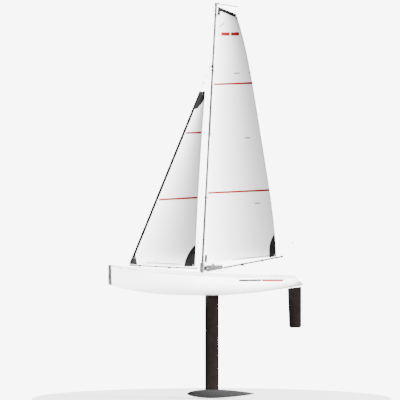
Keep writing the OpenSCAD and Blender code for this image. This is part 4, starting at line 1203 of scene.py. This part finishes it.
def deck_pieces():
    low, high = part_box("drain_plug")
    spots = [((low.x + high.x) / 2, 0, 4.2 * MM, 0.02, 0.12)]
    piece = carved(*deck_shape(), spots, "deck_skin")
    dress(piece, FINISHES["deck"], "hull", "deck_white", ["deck"])
    points, faces = lid_shape()
    add_piece("hatch_panel", points, faces, FINISHES["deck"], "hatch", "deck_white", ["hatch_lid"], angle=30)
    refined("drain_plug", FINISHES["rubber"], "bung", 0.3 * MM, 3)
    refined("sheet_bushes", FINISHES["grey"], "hull", 0.2 * MM)
    refined("jib_pivot_seat", FINISHES["grey"], "hull", 0.3 * MM)
    refined("deck_eyes", FINISHES["steel"], "hull", 0.3 * MM)


def foil_pieces():
    points, faces = fin_shape()
    add_piece("fin_blade", points, faces, FINISHES["blade"], "hull", "black_blade", ["keel_fin"], angle=50)
    bolt_x = (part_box("bulb_bolt")[0].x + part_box("bulb_bolt")[1].x) / 2
    bulb = carved(*bulb_shape(), [(bolt_x, 0, 3.25 * MM, -0.35, -0.3398)], "bulb_casting")
    dress(bulb, FINISHES["bulb"], "hull", "lead_grey", ["ballast_bulb"])
    points, faces = blade_shape()
    add_piece(
        "rudder_foil", points, faces, FINISHES["blade"], "rudder", "black_blade", ["rudder_blade"], angle=50
    )
    refined("bulb_bolt", FINISHES["steel"], "hull", 0.3 * MM)


# Start, direction, radius, finish and body of each tube
TUBES = {
    "mast": (MAST_FOOT, MAST_UP, MAST_RADIUS, "tube", "hull"),
    "main_boom": (BOOM_START, BOOM_AIM, BOOM_RADIUS, "boom", "main_rig"),
    "jib_boom": (JIB_START, JIB_AIM, JIB_RADIUS, "boom", "jib_rig"),
}


def tube(name, node, kind, start, end):
    """Round tube between two distances along its axis, with eased ends."""
    origin, aim, radius, finish, body = TUBES[kind]
    ease = 0.25 * MM
    profile = [(radius - ease, start), (radius - 0.3 * ease, start + 0.3 * ease), (radius, start + ease)]
    profile += [(radius, end - ease), (radius - 0.3 * ease, end - 0.3 * ease), (radius - ease, end)]
    points, faces = turned(profile, origin, aim, 56)
    add_piece(name, points, faces, FINISHES[finish], body, "mast_grey", [node], angle=40)


def mast_pieces():
    middle = MAST_LENGTH / 2
    tube("mast_lower_tube", "mast_lower", "mast", 0.05 * MM, middle - 0.06 * MM)
    tube("mast_upper_tube", "mast_upper", "mast", middle + 0.06 * MM, MAST_LENGTH - 3 * MM)
    refined("masthead_cap", FINISHES["black"], "hull", 0.5 * MM, 3)
    refined("crane_rod", FINISHES["boom"], "hull", 0.3 * MM)
    refined("hounds_fitting", FINISHES["black"], "hull", 0.4 * MM)
    refined("mast_stop_ring", FINISHES["black"], "hull", 0.4 * MM)
    refined("mast_step", FINISHES["black"], "hull", 0.4 * MM)
    refined("luff_rings", FINISHES["black"], "main_rig", 0.3 * MM)
    refined("backstay_bowsie", FINISHES["black"], "hull", 0.4 * MM, 3)


def boom_pieces():
    boom_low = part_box("main_boom")[0]
    first = (boom_low.x - BOOM_START.x) / BOOM_AIM.x + 0.6 * MM
    tube("main_boom_tube", "main_boom", "main_boom", first, BOOM_LENGTH)
    tube("jib_boom_tube", "jib_boom", "jib_boom", 0, JIB_LENGTH)
    refined("main_boom_fittings", FINISHES["black"], "main_rig", 0.4 * MM)
    refined("jib_boom_fittings", FINISHES["black"], "jib_rig", 0.4 * MM)
    refined("jib_swivels", FINISHES["steel"], "jib_rig", 0.2 * MM)


def gooseneck_pieces():
    refined("gooseneck_collar", FINISHES["black"], "main_rig", 0.5 * MM, 3)
    refined("gooseneck_pin", FINISHES["steel"], "main_rig", 0.3 * MM)
    refined("vang_body", FINISHES["grey"], "main_rig", 0.6 * MM, 3)
    refined("vang_wheel", FINISHES["black"], "vang_wheel_body", 0.3 * MM)
    refined("main_sheet_bowsie", FINISHES["black"], "main_rig", 0.35 * MM)


def sail_pieces(prefix, sail, body, across, up, groups, nodes, eyelets):
    """The film, then each named group of overlays, then the eyelets; everything goes with the film."""
    points, faces, uvs = sail.surface(across, up)
    film = add_piece(
        prefix + "_film", points, faces, FINISHES["film"], body, "sail_film", [nodes[0]], uvs, 30
    )
    for name, finish, slot, parts in groups:
        points, faces = join_parts(parts)
        replaced = [nodes[1]] if name == "patches" else ()
        add_piece(
            f"{prefix}_{name}", points, faces, FINISHES[finish], body, slot, replaced, None, 30
        )
    repeated(
        prefix + "_eyelets", eyelet_shape(sizes().eyelet), sail.ring_spots(eyelets), FINISHES["alloy"],
        body, "alloy",
    )
    length = max((sail.luff(1) - sail.luff(0)).length, (sail.leech(1) - sail.leech(0)).length)
    sail.area()


DASH_WIDTH = 3 * MM


def pocket(sail, start, end):
    """Batten pocket with closed black ends: gives the white strip and the two dashes."""
    tape = sizes().tape
    run = (end[0] - start[0], end[1] - start[1])
    inner = (start[0] + run[0] * 0.3, start[1] + run[1] * 0.3)
    outer = (start[0] + run[0] * 0.84, start[1] + run[1] * 0.84)
    white = sail.strip(start, end, 7 * MM, 0.5 * tape)
    dashes = [
        sail.strip(start, inner, DASH_WIDTH, 1.2 * tape, 8),
        sail.strip(outer, end, DASH_WIDTH, 1.2 * tape, 6),
    ]
    return white, dashes


def hem(sail, v):
    """Width of the edge tape as a share across the sail."""
    return sizes().edge_tape / sail.chord(v)


def main_sail_pieces():
    sail = Sail(main_luff, main_leech, sizes().film)
    tape = sizes().tape
    stripe = sizes().stripe
    pockets = [
        pocket(sail, *places((74, 742), (133, 744.6))),
        pocket(sail, *places((110, 526), (171, 528.3))),
        pocket(sail, *places((144, 308), (205, 309.4))),
    ]
    stripes = [
        sail.strip(*places((3.6, 705), (139, 709.8)), stripe, tape, 40),
        sail.strip(*places((-15.4, 342), (196.6, 352)), stripe, tape, 60),
    ]
    stripes += [
        sail.strip(*places((31.5, 873.5), (59.3, 873.5)), 11 * MM, tape, 12),
        sail.strip(*places((64, 873.5), (91, 873.5)), 11 * MM, tape, 12),
        sail.strip(*places((70, 119), (187, 131.5)), 2.4 * MM, tape, 40),
    ]
    corner = sail.point(1, 0)
    clew_x, clew_z = corner.x / MM, corner.z / MM
    leech = [(sail.point(1, v).x, sail.point(1, v).z) for v in [0.088 * k / 20 for k in range(21)]]
    clew_front = curve_between(places(
        (clew_x - 22.5, clew_z - 4.3), (clew_x - 22.3, clew_z + 12), (clew_x - 21.2, clew_z + 34),
        (clew_x - 16.5, clew_z + 53), (leech[-1][0] / MM - 4, clew_z + 73)
    ), 10)
    tack = sail.point(0, 0)
    head_low, head_high = 0.9862, 1.0
    head_join = head_low + 0.0002
    peak = sail.point(1, 1)
    patches = [
        sail.overlay(resampled(clew_front, 21), leech, 10, tape),
        sail.edge(lambda v: 0, lambda v: 0.033, 0, 0.03, tape, 2, 10),
        sail.edge(lambda v: 0, lambda v: 1 - 0.1 * (1 - v) / 0.012, head_low, head_high, 2 * tape, 24, 4),
        sail.edge(lambda v: 0, lambda v: 0.12, 0.968, head_join, 2 * tape, 3, 4),
        sail.edge(
            lambda v: 0.9 + 0.1 * min(1, (head_low - v) / 0.012), lambda v: 1, 0.976, head_join,
            2 * tape, 3, 4,
        ),
        sail.strip(*places((25.5, 897.5), (40.5, 909)), 2.2 * MM, 1.3 * tape, 6),
    ]
    patches += [dash for _, dashes in pockets for dash in dashes]
    tapes = [
        sail.edge(lambda v: 1 - hem(sail, v), lambda v: 1, 0.09, 0.985, 0.4 * tape),
        sail.edge(lambda v: 0, lambda v: hem(sail, v), 0.031, 0.971, 0.4 * tape),
        sail.edge(lambda v: 0.034, lambda v: 0.9, 0.0005, 0.0045, 0.4 * tape, 60, 2),
    ]
    tapes += [white for white, _ in pockets]
    eyelets = [
        (peak.x - 7 * MM, peak.z - 0.5 * MM),
        (corner.x - 5.5 * MM, corner.z + 5.5 * MM),
        (tack.x + 3.2 * MM, tack.z + 5 * MM),
    ]
    groups = [
        ("stripes", "stripe", "sail_patch", stripes), ("patches", "patch", "sail_patch", patches),
        ("tapes", "tape", "sail_film", tapes),
    ]
    width = sail.chord(0.12) + 8 * MM
    nodes = ["main_sail", "main_sail_patches"]
    sail_pieces("main_sail", sail, "main_rig", 90, 240, groups, nodes, eyelets)


def resampled(line, count):
    """The same line with a number of evenly spaced places."""
    lengths = [0.0]
    for a, b in zip(line, line[1:]):
        lengths.append(lengths[-1] + math.dist(a, b))
    out, i = [], 0
    for k in range(count):
        want = lengths[-1] * k / (count - 1)
        while i < len(line) - 2 and lengths[i + 1] < want:
            i += 1
        t = (want - lengths[i]) / max(1e-9, lengths[i + 1] - lengths[i])
        out.append(tuple(line[i][n] + t * (line[i + 1][n] - line[i][n]) for n in (0, 1)))
    return out


def jib_sail_pieces():
    sail = Sail(jib_luff, jib_leech, sizes().film)
    tape = sizes().tape
    stripe = sizes().stripe
    stripes = [
        sail.strip(*places((-86.5, 542.5), (-34.4, 544)), stripe, tape, 20),
        sail.strip(*places((-176.5, 319.5), (-46.6, 327)), stripe, tape, 30),
        sail.strip(*places((-220, 109), (-98, 104)), 2.2 * MM, tape, 40),
    ]
    corner = sail.point(1, 0)
    leech = [(sail.point(1, v).x, sail.point(1, v).z) for v in [0.125 * k / 20 for k in range(21)]]
    clew_front = curve_between(places(
        (corner.x / MM - 36, corner.z / MM - 1.2), (corner.x / MM - 31, corner.z / MM + 22),
        (corner.x / MM - 17, corner.z / MM + 50), (leech[-1][0] / MM - 2.5, corner.z / MM + 72)
    ), 10)
    foot = [(sail.point(s, 0).x, sail.point(s, 0).z) for s in [0.092 * k / 12 for k in range(13)]]
    tack_height = 33 * MM
    tack_top = [
        (x + 0.33 * tack_height * (1 - k / 12), z + tack_height * (1 - (k / 12) ** 1.6))
        for k, (x, z) in enumerate(foot)
    ]
    patches = [
        sail.overlay(resampled(clew_front, 21), leech, 12, tape),
        sail.overlay(foot, [(max(x, 0.5 * MM + jib_luff_x(sail, z)), z) for x, z in tack_top], 8, tape),
        sail.edge(lambda v: 0, lambda v: min(1, 0.25 + 0.75 * (v - 0.9) / 0.06), 0.9, 0.999, tape, 6, 14),
    ]
    tapes = [
        sail.edge(lambda v: 1 - hem(sail, v), lambda v: 1, 0.126, 0.95, 0.4 * tape),
        sail.edge(lambda v: 0.1, lambda v: 0.82, 0.0005, 0.0062, 0.4 * tape, 60, 2),
    ]
    eyelets = [(corner.x - 6 * MM, corner.z + 5 * MM), (sail.point(0.5, 0.985).x, sail.point(0.5, 0.985).z)]
    groups = [
        ("stripes", "stripe", "sail_patch", stripes), ("patches", "patch", "sail_patch", patches),
        ("tapes", "tape", "sail_film", tapes),
    ]
    width = sail.chord(0) + 2 * MM
    nodes = ["jib_sail", "jib_sail_patches"]
    sail_pieces("jib_sail", sail, "jib_rig", 70, 200, groups, nodes, eyelets)
    refined("jib_luff_sleeve", FINISHES["patch"], "jib_rig", 0.6 * MM, 3)


def jib_luff_x(sail, z):
    """Where the jib's luff is at a height."""
    low, high = sail.luff(0), sail.luff(1)
    return low.x + (high.x - low.x) * (z - low.z) / (high.z - low.z)


def straight(start, end, steps=2):
    return [start + (end - start) * k / steps for k in range(steps + 1)]


MAIN_BUSH_X = 39 * MM
JIB_BUSH_X = -92 * MM


def line_pieces():
    fine, thick = sizes().fine_line / 2, sizes().sheet_line / 2
    finish = FINISHES["line"]
    stay_low, stay_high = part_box("backstay")
    low = Vector((stay_high.x - 0.4 * MM, 0, stay_low.z))
    high = Vector((stay_low.x + 0.4 * MM, 0, stay_high.z))
    line_piece("backstay_line", [straight(low, high)], fine, finish, "hull", replaces=["backstay"])

    boom_eye = BOOM_START + BOOM_AIM * 87 * MM - Vector((0, 0, BOOM_RADIUS + 3.9 * MM))
    start = Vector((MAIN_BUSH_X, 0, ridge_z(MAIN_BUSH_X) - 1 * MM))
    blended_line("main_sheet_line", start, boom_eye, thick, "main_sheet")
    jib_eye = JIB_START + JIB_AIM * 158 * MM - Vector((0, 0, JIB_RADIUS + 3.9 * MM))
    start = Vector((JIB_BUSH_X, 0, ridge_z(JIB_BUSH_X) - 1 * MM))
    blended_line("jib_sheet_line", start, jib_eye, thick, "jib_sheet")

    def under(origin, aim, radius, run, drop):
        return origin + aim * run * MM - Vector((0, 0, radius + drop * MM))

    main_run = [
        under(BOOM_START, BOOM_AIM, BOOM_RADIUS, run, drop)
        for run, drop in (
            (87, 2.4), (100, 1.5), (134, 2.3), (138, 2.4), (142, 2.3), (170, 1.2), (204, 2.2), (206, 2.4)
        )
    ]
    line_piece("main_boom_line", [main_run], fine, finish, "main_rig")
    jib_run = [
        under(JIB_START, JIB_AIM, JIB_RADIUS, run, drop)
        for run, drop in (
            (88, 2.4), (92, 2.2), (110, 1.2), (128, 2.3), (132, 2.4), (136, 2.3), (146, 1.7), (158, 2.4)
        )
    ]
    line_piece("jib_boom_line", [jib_run], fine, finish, "jib_rig")

    unit = JIB_LUFF_LINE.normalized()
    lift_low = JIB_START + JIB_AIM * (JIB_LENGTH - 2 * MM) + Vector((0, 0, JIB_RADIUS + 0.7 * MM))
    lift_high = JIB_KNOT + Vector((1.4 * MM, 0, -1.5 * MM))
    stay = straight(JIB_TACK - 1.7 * MM * unit, JIB_KNOT)
    lift = straight(lift_low, lift_high)
    line_piece("jib_stay_lines", [stay, lift], fine, finish, "jib_rig", replaces=["jib_lines"])
    beads = [(lift_low + (lift_high - lift_low) * 0.12, lift_high - lift_low)]
    beads += [(JIB_TACK + JIB_LUFF_LINE * share, unit) for share in (0.92, 0.955)]
    profile = [(0.8, 0), (1.4, 0.4), (1.6, 1.5), (1.6, 5), (1.4, 6.1), (0.8, 6.5)]
    bead = turned([(r * MM, h * MM) for r, h in profile], Vector((0, 0, 0)), Vector((0, 0, 1)), 24)
    repeated("jib_line_beads", bead, beads, FINISHES["black"], "jib_rig", "black_fitting")
    ties = tie_rings()
    for name, body, rings in ties:
        points, faces = join_parts(rings)
        add_piece(name, points, faces, finish, body, "line_white")


def tie_rings():
    """Loops that tie the sails' clews to the booms."""
    fine = sizes().fine_line / 2
    up = Vector((0, 0, 1))
    main_run = (MAIN_CLEW - BOOM_START).dot(BOOM_AIM)
    jib_run = (JIB_CLEW - JIB_START).dot(JIB_AIM)

    def turns(start, aim, run, rise, radius):
        return [
            hoop(start + aim * (run + k * 0.6 * MM) + up * rise, aim, radius, fine) for k in (-1, 0, 1)
        ]

    main = turns(BOOM_START, BOOM_AIM, main_run - 5.5 * MM, 2.6 * MM, 5.9 * MM)
    jib = turns(JIB_START, JIB_AIM, jib_run - 6 * MM, 4.3 * MM, 6.9 * MM)
    return [("main_clew_tie", "main_rig", main), ("jib_clew_tie", "jib_rig", jib)]


def blended_line(name, start, end, radius, node):
    """Straight sheet between the deck and a boom, left on no body."""
    path = path_object([straight(start, end, 24)])
    values = {"Radius": radius, "Spacing": 1.2 * radius, "Material": FINISHES["line"]}
    piece = grown(path, TREES["braid"](), values, name, FINISHES["line"], "hull", "line_white", [node])
    piece.parent = None
    del piece["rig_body"]
    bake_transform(piece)


# Node, finish, body and edge rounding in millimetres
INNER = [
    ("keel_box", "tray", "hull", 0.4),
    ("keel_nut", "steel", "hull", 0.2),
    ("rudder_tube", "grey", "hull", 0.3),
    ("radio_tray", "tray", "hull", 0.4),
    ("sail_servo", "servo", "hull", 0.6),
    ("rudder_servo", "servo", "hull", 0.5),
    ("servo_screws", "steel", "hull", 0.25),
    ("battery_box", "servo", "hull", 0.4),
    ("battery_cells", "cell", "hull", 0.6),
    ("receiver", "servo", "hull", 1.0),
    ("switch_body", "black", "hull", 0.4),
    ("switch_slider", "knob", "switch_knob", 0.4),
    ("hatch_seal", "foam", "hull", 0.0),
    ("rudder_stock", "steel", "rudder", 0.3),
    ("rudder_horn", "nylon", "rudder", 0.3),
    ("servo_horn", "nylon", "rudder_servo_arm", 0.3),
    ("rudder_pushrod", "steel", "pushrod", 0.0),
    ("sail_arm", "nylon", "sail_winch_arm", 0.3),
]


def radio_pieces():
    for node, finish, body, rounding in INNER:
        refined(node, FINISHES[finish], body, rounding * MM)
    low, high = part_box("receiver")
    ribs = [
        (Vector((x * MM + low.x, (low.y + high.y) / 2, high.z - 0.2 * MM)), Vector((0, 0, 1)))
        for x in (6, 12, 18, 24, 30)
    ]
    corners = [(x * 0.8 * MM, y * 3.5 * MM) for x, y in ((-1, -1), (1, -1), (1, 1), (-1, 1))]
    rib_shape = loft([[Vector((x, y, z)) for x, y in corners] for z in (0, 0.6 * MM)])
    repeated("receiver_ribs", rib_shape, ribs, FINISHES["servo"], "hull", "servo_black")


def finish_cad_nodes():
    """Nodes that stay as they are get their finishes too."""
    for node, finish in (("keel_rod", "steel"), ("mast_joiner", "alloy")):
        data = NODES[node].data
        data.materials.clear()
        data.materials.append(FINISHES[finish])
        data.polygons.foreach_set("use_smooth", [True] * len(data.polygons))
        data.set_sharp_from_angle(angle=math.radians(40))


# ---------------------------------------------------------------- studio


def flat_material(name, colour, roughness):
    material, nodes, wires, shader = new_material(name, colour, roughness)
    vector = scaled_place(nodes, wires, "Object", (1, 1, 1))
    tinted(nodes, wires, noise(nodes, wires, vector, 2), colour, 0.01, shader)
    return material


def soft_light(name, place, aim, width, height, power, spread=math.pi):
    data = bpy.data.lights.new(name, "AREA")
    data.shape = "RECTANGLE"
    data.size, data.size_y = width, height
    data.energy = power
    data.spread = spread
    lamp = bpy.data.objects.new(name, data)
    bpy.context.scene.collection.objects.link(lamp)
    lamp.location = place
    lamp.rotation_euler = (Vector(aim) - Vector(place)).to_track_quat("-Z", "Y").to_euler()
    return lamp


def studio():
    settings = bpy.context.scene.yacht_studio
    floor_z = CAD_BOX[0].z - 1 * MM
    points = [
        on_circle(settings.floor_radius, z, k / 96) for z in (floor_z - 10 * MM, floor_z) for k in range(96)
    ]
    points, faces = loft([points[:96], points[96:]])
    mesh = bpy.data.meshes.new("floor")
    mesh.from_pydata([tuple(p) for p in points], [], faces)
    finish_mesh(mesh)
    floor = link(mesh, "floor")
    mesh.materials.append(flat_material("Pale floor", (0.55, 0.55, 0.55, 1), 0.8))

    world = bpy.context.scene.world or bpy.data.worlds.new("World")
    bpy.context.scene.world = world
    world.use_nodes = True
    nodes, wires = world.node_tree.nodes, world.node_tree.links
    seen = nodes.new("ShaderNodeLightPath")
    strength = nodes.new("ShaderNodeMix")
    strength.inputs["A"].default_value = settings.surround
    strength.inputs["B"].default_value = settings.backdrop
    wires.new(seen.outputs["Is Camera Ray"], strength.inputs["Factor"])
    nodes["Background"].inputs["Color"].default_value = (1, 1, 1, 1)
    wires.new(strength.outputs["Result"], nodes["Background"].inputs["Strength"])
    middle = (settings.aim_x, 0, settings.aim_z)
    soft_light("Key", (9.6, -2.5, 2.4), middle, 2.0, 2.0, settings.key_power)
    soft_light("Front", (-2.6, -3.4, 3.2), middle, 1.8, 1.8, settings.front_power)
    soft_light("Rear", (-2.5, 4.4, 2.0), middle, 2.4, 2.4, settings.rear_power)
    soft_light("Top", (-0.2, -0.35, 4.2), middle, 2.0, 2.0, settings.top_power)
    soft_light(
            "Bow", (-2.4, -3.0, 0.02), (-0.3, 0, 0.055), 0.9, 0.03, settings.bow_power, math.radians(3)
        )
    data = bpy.data.cameras.new("Camera")
    camera = bpy.data.objects.new("Camera", data)
    bpy.context.scene.collection.objects.link(camera)
    camera.location = (settings.aim_x, -settings.distance, settings.aim_z)
    camera.rotation_euler = (math.pi / 2, 0, 0)
    data.sensor_width = 36
    data.lens = 36 * settings.distance / settings.width
    data.clip_start, data.clip_end = 0.1, 200
    bpy.context.scene.camera = camera


# ---------------------------------------------------------------- operators and panel


def built(make):
    """Runs one group's function, with the finishes made first."""
    if not FINISHES:
        make_finishes(bpy.context.scene.yacht_colours)
    make()
    return {"FINISHED"}


class YACHT_OT_hull(bpy.types.Operator):
    """Build the hull moulding and its bow bumper"""

    bl_idname = "yacht.hull"
    bl_label = "Hull"
    bl_options = {"REGISTER", "UNDO"}

    def execute(self, context):
        return built(hull_pieces)


class YACHT_OT_deck(bpy.types.Operator):
    """Build the deck, its hatch and its fittings"""

    bl_idname = "yacht.deck"
    bl_label = "Deck"
    bl_options = {"REGISTER", "UNDO"}

    def execute(self, context):
        return built(deck_pieces)


class YACHT_OT_foils(bpy.types.Operator):
    """Build the keel fin, the ballast bulb and the rudder"""

    bl_idname = "yacht.foils"
    bl_label = "Foils"
    bl_options = {"REGISTER", "UNDO"}

    def execute(self, context):
        return built(foil_pieces)


class YACHT_OT_mast(bpy.types.Operator):
    """Build the mast and the fittings on it"""

    bl_idname = "yacht.mast"
    bl_label = "Mast"
    bl_options = {"REGISTER", "UNDO"}

    def execute(self, context):
        return built(mast_pieces)


class YACHT_OT_booms(bpy.types.Operator):
    """Build both booms and their bands"""

    bl_idname = "yacht.booms"
    bl_label = "Booms"
    bl_options = {"REGISTER", "UNDO"}

    def execute(self, context):
        return built(boom_pieces)


class YACHT_OT_gooseneck(bpy.types.Operator):
    """Build the gooseneck, the vang and its wheel"""

    bl_idname = "yacht.gooseneck"
    bl_label = "Gooseneck"
    bl_options = {"REGISTER", "UNDO"}

    def execute(self, context):
        return built(gooseneck_pieces)


class YACHT_OT_main_sail(bpy.types.Operator):
    """Build the main sail with its tapes, patches and battens"""

    bl_idname = "yacht.main_sail"
    bl_label = "Main sail"
    bl_options = {"REGISTER", "UNDO"}

    def execute(self, context):
        return built(main_sail_pieces)


class YACHT_OT_jib_sail(bpy.types.Operator):
    """Build the jib with its tapes, patches and luff sleeve"""

    bl_idname = "yacht.jib_sail"
    bl_label = "Jib"
    bl_options = {"REGISTER", "UNDO"}

    def execute(self, context):
        return built(jib_sail_pieces)


class YACHT_OT_lines(bpy.types.Operator):
    """Build the backstay, the sheets and the ties"""

    bl_idname = "yacht.lines"
    bl_label = "Lines"
    bl_options = {"REGISTER", "UNDO"}

    def execute(self, context):
        return built(line_pieces)


class YACHT_OT_radio(bpy.types.Operator):
    """Build the gear inside the hull"""

    bl_idname = "yacht.radio"
    bl_label = "Radio gear"
    bl_options = {"REGISTER", "UNDO"}

    def execute(self, context):
        return built(radio_pieces)


class YACHT_OT_finishes(bpy.types.Operator):
    """Give the remaining CAD nodes their finishes"""

    bl_idname = "yacht.finishes"
    bl_label = "Finishes"
    bl_options = {"REGISTER", "UNDO"}

    def execute(self, context):
        return built(finish_cad_nodes)


class YACHT_OT_stage(bpy.types.Operator):
    """Build the floor, the lights and the camera"""

    bl_idname = "yacht.stage"
    bl_label = "Studio"
    bl_options = {"REGISTER", "UNDO"}

    def execute(self, context):
        return built(studio)


OPERATORS = (
    YACHT_OT_hull,
    YACHT_OT_deck,
    YACHT_OT_foils,
    YACHT_OT_mast,
    YACHT_OT_booms,
    YACHT_OT_gooseneck,
    YACHT_OT_main_sail,
    YACHT_OT_jib_sail,
    YACHT_OT_lines,
    YACHT_OT_radio,
    YACHT_OT_finishes,
    YACHT_OT_stage,
)


class YACHT_PT_main(bpy.types.Panel):
    """The yacht's settings and its operators"""

    bl_idname = "YACHT_PT_main"
    bl_label = "Model racing yacht"
    bl_space_type = "VIEW_3D"
    bl_region_type = "UI"
    bl_category = "Yacht"

    def draw(self, context):
        scene = context.scene
        groups = (
            ("Sizes", scene.yacht_sizes), ("Colours", scene.yacht_colours), ("Studio", scene.yacht_studio)
        )
        for title, group in groups:
            box = self.layout.box()
            box.label(text=title)
            for key in group.__annotations__:
                box.prop(group, key)
        column = self.layout.column(align=True)
        for made in OPERATORS:
            column.operator(made.bl_idname, text=made.bl_label)


CLASSES = (YachtColours, YachtSizes, YachtStudio, *OPERATORS, YACHT_PT_main)


def register():
    for made in CLASSES:
        bpy.utils.register_class(made)
    bpy.types.Scene.yacht_colours = bpy.props.PointerProperty(type=YachtColours)
    bpy.types.Scene.yacht_sizes = bpy.props.PointerProperty(type=YachtSizes)
    bpy.types.Scene.yacht_studio = bpy.props.PointerProperty(type=YachtStudio)


def unregister():
    del bpy.types.Scene.yacht_studio
    del bpy.types.Scene.yacht_sizes
    del bpy.types.Scene.yacht_colours
    for made in reversed(CLASSES):
        bpy.utils.unregister_class(made)


def main():
    register()
    bpy.ops.yacht.hull()
    bpy.ops.yacht.deck()
    bpy.ops.yacht.foils()
    bpy.ops.yacht.mast()
    bpy.ops.yacht.booms()
    bpy.ops.yacht.gooseneck()
    bpy.ops.yacht.main_sail()
    bpy.ops.yacht.jib_sail()
    bpy.ops.yacht.lines()
    bpy.ops.yacht.radio()
    bpy.ops.yacht.finishes()
    bpy.ops.yacht.stage()
    bpy.context.view_layer.update()


if __name__ == "__main__":
    main()
